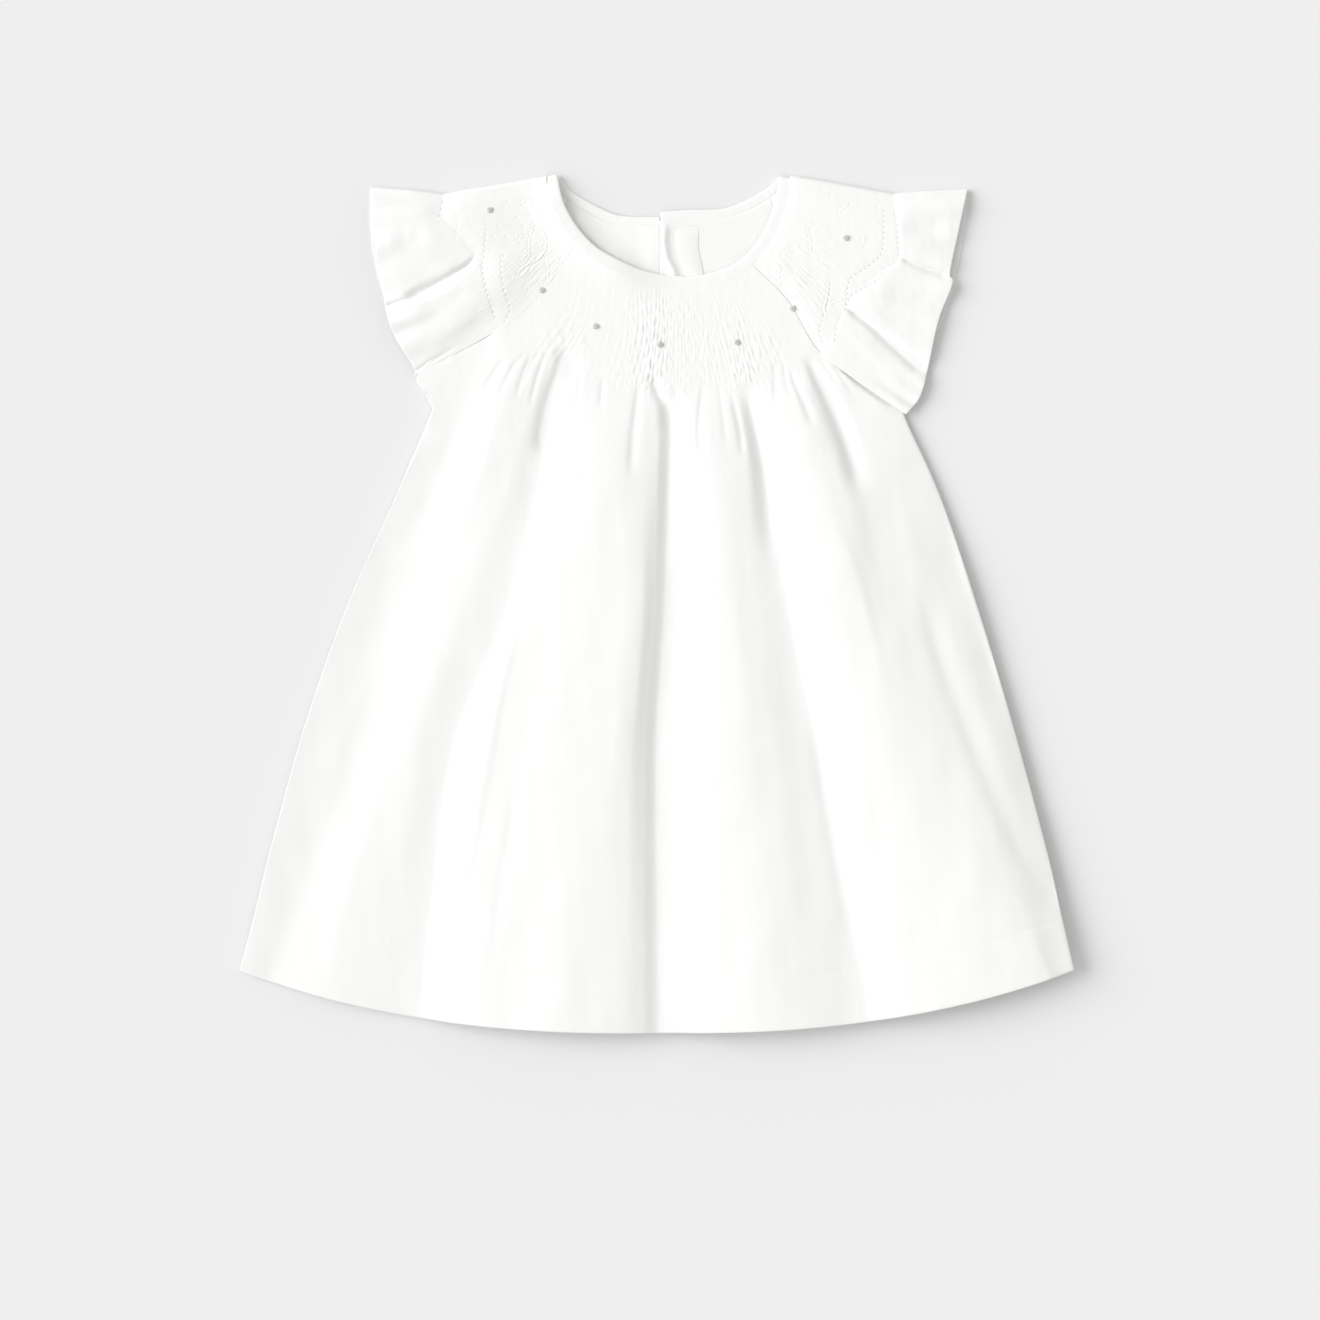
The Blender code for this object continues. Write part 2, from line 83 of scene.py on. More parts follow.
#  name          left x, left y   right x, right y  sag    sides
FRONT_ROWS = (
    ("neck",        -41.0, 175.2,    52.0, 171.2,   16.5,  0.080, 0.080),
    ("mid smocking", -57.0, 156.5,   65.5, 152.0,   21.0,  0.080, 0.080),
    ("release",     -77.0, 138.0,    82.0, 126.0,   24.0,  0.090, 0.090),
    ("under frill", -98.0, 134.0,   104.0, 117.0,   29.0,  0.160, 0.165),
    ("armhole",    -119.5, 113.5,   124.0, 101.0,   31.5,  0.200, 0.190),
    ("underarm",   -111.8,  97.5,   124.3,  93.2,   33.0,  0.163, 0.185),
    ("waist",      -130.3,  53.8,   141.8,  53.8,   35.0,  0.165, 0.180),
    ("upper skirt", -155.0, -2.0,   160.5,  -2.0,   35.0,  0.160, 0.165),
    ("mid skirt",  -175.3, -59.8,   177.8, -59.8,   33.5,  0.160, 0.160),
    ("low skirt",  -192.3, -120.8,  194.3, -120.8,  32.0,  0.160, 0.160),
    ("hem stitch", -201.0, -156.3,  202.3, -156.3,  31.0,  0.160, 0.160),
    ("hem",        -208.2, -182.8,  208.2, -182.3,  31.35, 0.160, 0.160),
)
ROW_NAMES = [row[0] for row in FRONT_ROWS]
RELEASE, UNDERARM, HEM_STITCH, HEM = [ROW_NAMES.index(name)
                                      for name in ("release", "underarm", "hem stitch", "hem")]
SIDE_PLEATS = 0.08                     # share of a row that is plain cloth at each side
ROW_FULLNESS = 2.5                     # how square a row's sag is

SECTION_ROWS = (102.2, 62.2, 2.2, -77.8, -177.8)     # plan y of the sections across the skirt's folds
#  name               plan x at each section                            height of the underside at each
FOLDS = (
    ("left seam",        (-112.2, -126.8, -153.2, -180.8, -206.8), ( 2.3,  3.1,  3.6,  4.9,  4.2)),
    ("left margin",      (-108.2, -122.8, -149.2, -176.8, -202.8), ( 2.2,  2.8,  3.3,  4.5,  4.0)),
    ("left foot",        ( -97.2, -111.2, -138.2, -155.8, -188.8), ( 2.1,  2.2,  2.6,  2.3,  2.8)),
    ("left slope",       ( -86.2,  -99.8, -122.2, -144.2, -176.2), ( 2.9,  3.6,  3.6,  3.5,  3.4)),
    ("left crest",       ( -74.2,  -88.2, -108.2, -132.2, -161.2), ( 3.8,  5.6,  5.6,  5.2,  4.6)),
    ("left crest end",   ( -63.2,  -74.2,  -95.2, -121.2, -135.8), ( 3.6,  5.4,  6.4,  5.8,  3.7)),
    ("second valley",    ( -52.8,  -59.2,  -74.2, -104.2, -116.2), ( 2.3,  4.0,  5.5,  5.0,  2.5)),
    ("second foot",      ( -49.8,  -55.8,  -70.8, -100.8, -112.2), ( 2.9,  4.6,  5.9,  5.4,  3.1)),
    ("second slope",     ( -44.2,  -48.2,  -63.2,  -87.2,  -94.2), ( 4.2,  6.4,  8.0,  7.8,  7.8)),
    ("second rise",      ( -36.2,  -40.2,  -50.2,  -68.2,  -73.2), ( 4.8,  7.6,  9.2,  9.4,  9.6)),
    ("second crest",     ( -25.2,  -26.2,  -28.2,  -33.2,  -42.2), ( 5.2,  8.6, 10.4, 11.3, 11.4)),
    ("second shoulder",  ( -17.2,  -17.2,  -17.2,  -22.2,  -29.2), ( 5.1,  8.3, 10.5, 11.3, 10.9)),
    ("second fall",      (  -8.2,   -8.2,   -7.2,  -13.2,  -15.2), ( 4.9,  7.6, 10.0, 10.4,  9.7)),
    ("centre edge",      (   1.2,    0.2,   -1.2,   -6.2,   -6.8), ( 4.5,  6.2,  7.3,  7.8,  8.0)),
    ("centre valley",    (   7.8,    6.0,    4.5,    0.0,    1.2), ( 2.4,  3.0,  4.6,  4.8,  5.5)),
    ("third foot",       (  11.0,   10.0,   10.8,    6.5,    9.8), ( 3.4,  4.0,  5.0,  5.1,  6.0)),
    ("third slope",      (  16.5,   17.0,   20.2,   20.8,   26.8), ( 4.8,  7.0,  9.6, 10.2, 10.6)),
    ("third crest",      (  25.8,   29.8,   36.8,   43.8,   53.8), ( 5.4,  8.8, 11.6, 12.0, 12.6)),
    ("third shoulder",   (  37.8,   46.8,   46.2,   55.8,   66.8), ( 5.0,  7.6, 10.8, 11.4, 12.0)),
    ("third valley",     (  45.8,   54.8,   65.2,   81.2,   99.8), ( 3.2,  5.0,  8.4,  8.6,  8.6)),
    ("fourth foot",      (  48.8,   55.8,   63.2,   83.8,  103.8), ( 3.8,  5.6,  8.6,  8.9,  9.0)),
    ("fourth slope",     (  54.8,   62.8,   72.8,   95.8,  119.8), ( 5.0,  8.0, 10.8, 11.2, 11.6)),
    ("fourth crest",     (  69.8,   80.8,  101.8,  119.8,  159.2), ( 5.8, 10.0, 13.0, 13.0, 13.6)),
    ("fourth shoulder",  (  76.8,   90.8,  107.8,  131.8,  177.8), ( 5.2,  9.4, 12.0, 12.6, 13.4)),
    ("side shade",       (  84.8,  100.8,  116.8,  149.2,  191.8), ( 3.6,  7.2, 10.6, 11.2, 12.4)),
    ("right margin",     ( 109.8,  122.8,  138.8,  168.8,  198.8), ( 2.8,  4.6,  8.0,  8.6, 10.4)),
    ("right seam",       ( 122.8,  138.8,  155.8,  182.8,  207.2), ( 1.9,  2.6,  5.0,  5.0,  9.0)),
)
MAP_X, MAP_Y = (-212.0, 212.0), (-220.0, 140.0)      # what the table of the folds' heights covers
MAP_STEPS = (0.5, 2.0)

#  name               stitch x, y       edge x, y        stitch z, edge z
LEFT_SPOKES = (
    ("raglan",        -77.6, 138.6,    -120.6, 114.2,      3.4,  2.8),
    ("lower roll",    -81.5, 145.0,    -121.4, 118.6,      4.0,  3.5),
    ("lower lobe",    -82.8, 153.0,    -131.0, 134.5,      5.6,  5.8),
    ("lower shoulder", -84.8, 161.0,   -135.0, 146.5,      6.0,  6.3),
    ("valley",        -88.5, 172.0,    -135.8, 152.6,      5.4,  5.2),
    ("upper lobe",    -99.5, 186.0,    -139.8, 173.0,      6.0,  6.8),
    ("upper crest",  -106.8, 193.0,    -142.2, 193.0,      5.6,  6.4),
    ("fold",         -106.5, 202.8,    -143.0, 206.8,      3.8,  4.2),
)
RIGHT_SPOKES = (
    ("raglan",         82.7, 126.7,     124.6,  94.8,      4.2,  5.2),
    ("lowest lobe",    88.2, 134.0,     131.6, 103.6,      4.4,  4.5),
    ("low valley",     94.0, 149.2,     135.6, 117.8,      4.1,  3.8),
    ("middle lobe",   103.0, 157.4,     140.6, 141.0,      4.5,  4.7),
    ("middle crest",  112.5, 166.0,     147.8, 160.2,      4.4,  4.5),
    ("high valley",   121.5, 173.8,     146.6, 165.8,      4.2,  4.0),
    ("upper lobe",    120.4, 188.0,     150.8, 186.2,      4.4,  4.5),
    ("fold",          118.4, 203.0,     155.0, 205.8,      3.8,  4.2),
)
BACK_RAGLAN_LEFT = ((-62.0, 168.0), (-79.6, 139.8), (-100.0, 124.6), (-119.5, 112.8))
BACK_RAGLAN_RIGHT = ((69.5, 162.0), (84.4, 125.6), (104.0, 111.0), (124.4, 100.2))
UNDER_BULGE = 8.0                      # how far a sleeve's under layer bellies out at its edge
UNDER_GAP = 0.03                       # between the under layer and the back

# About how long the cloth is, for edges that are rounded or close rows that are set over a length in mm.
ROW_SPAN = 190.0                       # along half a row of the front
YOKE_ROW = 20.0                        # from one row of the front's table to the next, on the yoke
HEM_DEPTH = 27.0                       # from the hem's stitching to its fold
BACK_SPAN = 90.0                       # along half a row of a back half
SLEEVE_SPAN = 70.0                     # across a sleeve's head
SLEEVE_RUN = 38.0                      # from a sleeve's neck to its stitches, and on to its edge
SLEEVE_GIRTH = 90.0                    # all round a sleeve


# ---------------------------------------------------------------------------------------------------------
# Curves and surfaces, worked out for whole grids at once.

def soft(part):
    """Nought to one with a level start and end."""
    part = np.clip(part, 0.0, 1.0)
    return part * part * (3.0 - 2.0 * part)


def blend(low, high, part):
    """A value that goes evenly from low to high."""
    return low + (high - low) * part


def unit(vectors):
    """Vectors of length one."""
    return vectors / np.maximum(np.linalg.norm(vectors, axis=-1, keepdims=True), 1e-9)


def raised(plan, height):
    """Points over plan places, each at its own height."""
    return np.concatenate([plan, height[..., None]], axis=-1)


def every_few(count, step):
    """Numbers of every so many rows, and of the last."""
    return sorted(set(range(0, count, step)) | {count - 1})


def edge_steps(length, steps=(0.0, 0.12, 0.35, 0.7, 1.2, 1.9)):
    """Shares of a length in mm that stand close together at its start."""
    return np.array(steps) / length


def catmull(points, at, rows=None):
    """Places on a smooth curve through control points, which may be whole rows of a grid.

    With rows, each place takes its own row of the control points.
    """
    points = np.asarray(points, dtype=float)
    at = np.asarray(at, dtype=float)
    last = len(points) - 1
    start = np.clip(np.floor(at).astype(int), 0, last - 1)

    def control(number):
        """A control point, or one for each of the rows."""
        return points[number] if rows is None else points[number, rows]

    here, there = control(start), control(start + 1)
    spread = at.shape + (1,) * (here.ndim - at.ndim)
    part = (at - start).reshape(spread)
    first, final = (start == 0).reshape(spread), (start + 2 > last).reshape(spread)
    before = np.where(first, 2.0 * here - there, control(np.maximum(start - 1, 0)))
    after = np.where(final, 2.0 * there - here, control(np.minimum(start + 2, last)))
    return 0.5 * (2.0 * here + (there - before) * part
                  + (2.0 * before - 5.0 * here + 4.0 * there - after) * part ** 2
                  + (3.0 * here - before - 3.0 * there + after) * part ** 3)


def traced(points, count):
    """A smooth curve through control points, as a number of points along it."""
    return catmull(points, np.linspace(0.0, len(points) - 1.0, count))


def beside_curve(points, along, distance):
    """Points beside a curve, at places from 0 to 1, moved to the right of the way it runs."""
    along = np.atleast_1d(np.asarray(along, dtype=float))
    last = len(points) - 1
    here = catmull(points, along * last)
    near = catmull(points, np.maximum(along * last - 0.05, 0.0))
    far = catmull(points, np.minimum(along * last + 0.05, last))
    run = far - near
    run /= np.linalg.norm(run, axis=-1, keepdims=True)
    return here + np.stack([run[..., 1], -run[..., 0]], axis=-1) * distance


def line_place(points, line):
    """For plan points: the signed distance to a polyline (positive on its right), the place along it from
    0 to 1, and the polyline's length."""
    line = np.asarray(line, dtype=float)
    lengths = np.linalg.norm(line[1:] - line[:-1], axis=1)
    starts = np.concatenate([[0.0], np.cumsum(lengths)])
    best = np.full(points.shape[:-1], 1e9)
    side = np.zeros_like(best)
    along = np.zeros_like(best)
    for start, end, length, before in zip(line[:-1], line[1:], lengths, starts):
        run = (end - start) / length
        offset = points[..., :2] - start
        place = np.clip(offset @ run, 0.0, length)
        distance = np.linalg.norm(offset - place[..., None] * run, axis=-1)
        turn = run[1] * offset[..., 0] - run[0] * offset[..., 1]
        closer = distance < best
        best = np.where(closer, distance, best)
        side = np.where(closer, np.where(turn >= 0.0, distance, -distance), side)
        along = np.where(closer, (before + place) / starts[-1], along)
    return side, along, starts[-1]


def smooth_line(knots, values, at):
    """Values on a smooth curve that never overshoots its knots."""
    gaps = np.diff(knots)
    slopes = np.diff(values) / gaps
    before, after = slopes[:-1], slopes[1:]
    same = before * after > 0.0
    first, second = 2.0 * gaps[1:] + gaps[:-1], gaps[1:] + 2.0 * gaps[:-1]
    bend = np.zeros_like(knots)
    safe_before, safe_after = np.where(same, before, 1.0), np.where(same, after, 1.0)
    bend[1:-1] = np.where(same, (first + second) / (first / safe_before + second / safe_after), 0.0)
    bend[0], bend[-1] = slopes[0], slopes[-1]
    at = np.clip(at, knots[0], knots[-1])
    start = np.clip(np.searchsorted(knots, at, side="right") - 1, 0, len(gaps) - 1)
    gap = gaps[start]
    part = (at - knots[start]) / gap
    left = 1.0 - part
    return (values[start] * (1.0 + 2.0 * part) * left ** 2 + bend[start] * gap * part * left ** 2
            + values[start + 1] * part ** 2 * (3.0 - 2.0 * part)
            + bend[start + 1] * gap * part ** 2 * (part - 1.0))


def fold_map():
    """The underside of the folded skirt over an even plan grid: its x and y values and its heights."""
    across = np.arange(MAP_X[0], MAP_X[1] + MAP_STEPS[0], MAP_STEPS[0])
    rows = np.arange(*MAP_Y, MAP_STEPS[1])
    stations = np.array(SECTION_ROWS[::-1])
    heights = np.zeros((len(rows), len(across)))
    for number, y in enumerate(rows):
        places, lifts = [], []
        for _, xs, zs in FOLDS:
            xs, zs = np.array(xs[::-1]), np.array(zs[::-1])
            below = min(y - stations[0], 0.0) * (xs[1] - xs[0]) / (stations[1] - stations[0])
            above = max(y - stations[-1], 0.0) * (xs[-1] - xs[-2]) / (stations[-1] - stations[-2])
            places.append(smooth_line(stations, xs, y) + below + above)
            lifts.append(smooth_line(stations, zs, y))
        places = np.maximum.accumulate(np.array(places) + np.arange(len(places)) * 1e-3)
        heights[number] = smooth_line(places, np.array(lifts), across)
    return across, rows, heights


def sampled(table, plan):
    """Heights at plan points, read from an even table of them."""
    across, rows, heights = table
    x = np.clip((plan[..., 0] - across[0]) / (across[1] - across[0]), 0.0, len(across) - 1.001)
    y = np.clip((plan[..., 1] - rows[0]) / (rows[1] - rows[0]), 0.0, len(rows) - 1.001)
    column, row = x.astype(int), y.astype(int)
    x, y = x - column, y - row
    low = heights[row, column] * (1.0 - x) + heights[row, column + 1] * x
    high = heights[row + 1, column] * (1.0 - x) + heights[row + 1, column + 1] * x
    return low * (1.0 - y) + high * y


def lowest_near(grid, rows, columns):
    """The lowest value round each place of a grid, within some rows and columns."""
    for axis, reach in ((0, rows), (1, columns)):
        for _ in range(reach):
            before, after = np.roll(grid, 1, axis), np.roll(grid, -1, axis)
            if axis == 0:
                before[0], after[-1] = grid[0], grid[-1]
            else:
                before[:, 0], after[:, -1] = grid[:, 0], grid[:, -1]
            grid = np.minimum(grid, np.minimum(before, after))
    return grid


def grid_normals(grid):
    """The upward normals of a grid of points."""
    normal = unit(np.cross(np.gradient(grid, axis=0), np.gradient(grid, axis=1)))
    return np.where(normal[..., 2:3] < 0.0, -normal, normal)


def ripple(grid, seed, length, stretch=(1.0, 1.0)):
    """A gentle, uneven swell over a plan grid, from -1 to 1, made of a few crossing waves."""
    chance = np.random.default_rng(seed)
    total = np.zeros(grid.shape[:-1])
    for _ in range(7):
        turn, phase = chance.uniform(0.0, math.tau, 2)
        pace = math.tau / (length * chance.uniform(0.6, 1.6))
        way_x, way_y = math.cos(turn) * stretch[0], math.sin(turn) * stretch[1]
        total += np.sin((grid[..., 0] * way_x + grid[..., 1] * way_y) * pace + phase)
    return total / 7.0


def mound(plan, x, y, across, down):
    """One at a plan place, fading all round it."""
    return np.exp(-((plan[..., 0] - x) / across) ** 2 - ((plan[..., 1] - y) / down) ** 2)


def edge_drop(distance, round_):
    """How full a rounded edge is, from 0 at the edge to 1 past its round."""
    part = np.clip(distance / round_, 0.0, 1.0)
    return np.sqrt(np.clip(1.0 - (1.0 - part) ** 2, 0.0, 1.0))


def crease_lift(points, creases):
    """The lift of creases over plan points: each has a depth, a width on each side and soft ends."""
    total = np.zeros(points.shape[:-1])
    for _, depth, left, right, spread, fade, line in creases:
        side, along, _ = line_place(points, traced(line, 4 * len(line)))
        width = np.where(side < 0.0, left, right) * blend(1.0, spread, along)
        ends = soft(along / fade) * soft((1.0 - along) / fade)
        total += depth * np.exp(-(side / width) ** 2) * ends
    return total


# ---------------------------------------------------------------------------------------------------------
# Meshes.

def strip(first, second):
    """Faces between two rows of point numbers that run the same way, with equal or unequal counts."""
    first, second = np.asarray(first), np.asarray(second)
    if len(first) == len(second):
        return [np.stack([first[:-1], second[:-1], second[1:], first[1:]], axis=-1)], []
    threes, here, there = [], 0, 0
    last, end = len(first) - 1, len(second) - 1
    while here < last or there < end:
        if there == end or (here < last and (here + 1) * end <= (there + 1) * last):
            threes.append((first[here], second[there], first[here + 1]))
            here += 1
        else:
            threes.append((first[here], second[there], second[there + 1]))
            there += 1
    return [], [np.array(threes)]


def mesh_object(name, points, fours, threes, uvs, finish):
    """An object of one mesh, in metres, with a UV for each of its points and smooth shading."""
    points = np.concatenate(points) * MM
    uvs = np.concatenate(uvs) * MM
    fours = np.concatenate(fours) if fours else np.zeros((0, 4), dtype=int)
    threes = np.concatenate(threes) if threes else np.zeros((0, 3), dtype=int)
    corners = np.concatenate([fours.ravel(), threes.ravel()]).astype(np.int32)
    sizes = np.concatenate([np.full(len(fours), 4), np.full(len(threes), 3)])
    starts = np.concatenate([[0], np.cumsum(sizes)[:-1]]).astype(np.int32)
    mesh = bpy.data.meshes.new(name)
    mesh.vertices.add(len(points))
    mesh.vertices.foreach_set("co", points.astype(np.float32).ravel())
    mesh.loops.add(len(corners))
    mesh.loops.foreach_set("vertex_index", corners)
    mesh.polygons.add(len(sizes))
    mesh.polygons.foreach_set("loop_start", starts)
    layer = mesh.uv_layers.new(name="UVMap")
    layer.uv.foreach_set("vector", uvs[corners].astype(np.float32).ravel())
    mesh.update(calc_edges=True)
    mesh.validate()
    mesh.shade_smooth()
    mesh.materials.append(finish)
    return linked(bpy.data.objects.new(name, mesh))


def linked(thing):
    """An object, once it is in the scene."""
    bpy.context.scene.collection.objects.link(thing)
    return thing


def turn_out(piece):
    """Turns a closed shell's faces outwards where they point in."""
    mesh = bmesh.new()
    mesh.from_mesh(piece.data)
    if mesh.calc_volume(signed=True) < 0.0:
        bmesh.ops.reverse_faces(mesh, faces=mesh.faces[:])
        mesh.to_mesh(piece.data)
    mesh.free()
    return piece


def shell(name, outer, inner, finish, outer_uv=None, inner_uv=None):
    """A closed thin wall from rows of outer and inner points, all running the same way.

    Without UVs of its own, the cloth's weave follows the plan.
    """
    points, uvs, layers = [], [], []
    count = 0
    for rows, row_uvs in ((outer, outer_uv), (inner, inner_uv)):
        layer = []
        for row in rows:
            layer.append(np.arange(count, count + len(row)))
            count += len(row)
            points.append(row)
        uvs += [row[:, :2] for row in rows] if row_uvs is None else list(row_uvs)
        layers.append(layer)
    top, under = layers
    pairs = list(zip(top[:-1], top[1:])) + list(zip(under[1:], under[:-1]))
    pairs += [(under[0], top[0]), (top[-1], under[-1])]
    pairs += [([row[0] for row in top], [row[0] for row in under])]
    pairs += [([row[-1] for row in under], [row[-1] for row in top])]
    fours, threes = [], []
    for first, second in pairs:
        new_fours, new_threes = strip(first, second)
        fours += new_fours
        threes += new_threes
    return turn_out(mesh_object(name, points, fours, threes, uvs, finish))


# ---------------------------------------------------------------------------------------------------------
# The front: smocked yoke, gathers, folded skirt and hem.

FRONT_PLEATS = 50
FRONT_COLUMNS = 340
YOKE_ROWS = 76
GATHER_ROWS = 62
SKIRT_ROWS = 90
GATHERS_END = 4.6        # how far down the close rows go, in rows of the front's table
SKIRT_END = 10.93        # where the hem's own close rows start
STEEP_FOLDS = ("second foot", "centre edge", "centre valley", "third foot", "third valley", "fourth foot",
               "right margin")
STEEP_WIDTH = 0.018      # share of a row over which the columns are drawn to a steep fold
PLEAT_DEPTH = 0.56       # mm, from a pleat's crest to its valley
PLEAT_LEVEL = 0.45       # share of a pleat that lies under the cloth's own level
ZIGZAG = 0.20            # of a pleat's pitch
ZIGZAG_PACE = 5.5        # half turns for each row of the front's table
WANDER = (0.30, 0.22)    # of a pleat's pitch, in two slower waves
HEM_RAISE = 0.06         # mm, the hem's second layer
STITCH_SINK = 0.05       # mm, how far the hem's stitching pulls the cloth in
NECK_LIFT = 3.5          # mm, the swell beside the neck's left side
NECK_REACH = 11.0        # mm, how far it runs
HEM_ROUND, NECK_ROUND, SIDE_ROUND = 1.3, 0.8, 0.3     # mm, how far in an edge is rounded
SIDE_FULL = (1.0, 0.4)   # how full the wall is at the left and the right side
EDGE_FULL = 0.25         # how full the wall is at the hem and the neck
CUT_SHARE, CUT_LEAST = 0.55, 0.25     # a crease takes at most this share of the height, less this in mm
CUT_BEND = 0.3           # mm, how softly it ends there
THIN = 0.35              # mm, the least that is left under a valley

#  place   pitch  depth at neck  at release  gathers run, mm
SMOCKING = (
    (0.08,  1.45,  0.30,  0.55,  17.0),
    (0.16,  1.40,  0.40,  0.80,  24.0),
    (0.24,  1.35,  0.28,  0.55,  10.0),
    (0.31,  1.20,  0.35,  0.40,   8.0),
    (0.38,  0.92,  0.60,  1.00,  14.0),
    (0.48,  0.82,  0.85,  1.30,  20.0),
    (0.56,  0.85,  0.80,  1.20,  16.0),
    (0.64,  0.95,  0.50,  0.75,  12.0),
    (0.72,  1.00,  0.45,  0.95,  20.0),
    (0.80,  0.98,  0.50,  1.20,  24.0),
    (0.88,  1.10,  0.45,  0.75,  15.0),
    (0.92,  1.20,  0.35,  0.65,  14.0),
)

#  where the smocking stands out, on the yoke and the sleeves: x, y, reach across, reach down, how much
SMOCKED_PATCHES = (
    (-3.0, 138.0, 10.0, 20.0, 0.75), (-2.0, 118.0, 8.0, 14.0, 0.55), (18.0, 142.0, 12.0, 14.0, 0.35),
    (39.0, 136.0, 8.0, 14.0, 0.5), (43.0, 118.0, 8.0, 11.0, 0.6), (27.0, 124.0, 9.0, 12.0, 0.4),
    (67.0, 131.0, 11.0, 9.0, 0.9), (-45.0, 133.0, 7.0, 16.0, 0.55), (-58.0, 128.0, 9.0, 9.0, 0.6),
    (-70.0, 128.0, 9.0, 7.0, 0.45), (54.0, 126.0, 8.0, 11.0, 0.25), (-22.0, 124.0, 7.0, 10.0, 0.25),
    (-60.0, 168.0, 8.0, 9.0, 0.8), (-50.0, 164.0, 5.0, 9.0, 0.45), (62.0, 166.0, 8.0, 9.0, 0.75),
    (74.0, 157.0, 9.0, 10.0, 0.7), (84.0, 176.0, 10.0, 12.0, 0.25), (70.0, 185.0, 9.0, 9.0, 0.25),
)
PATCH_FLOOR = 0.16       # how much of the smocking shows elsewhere

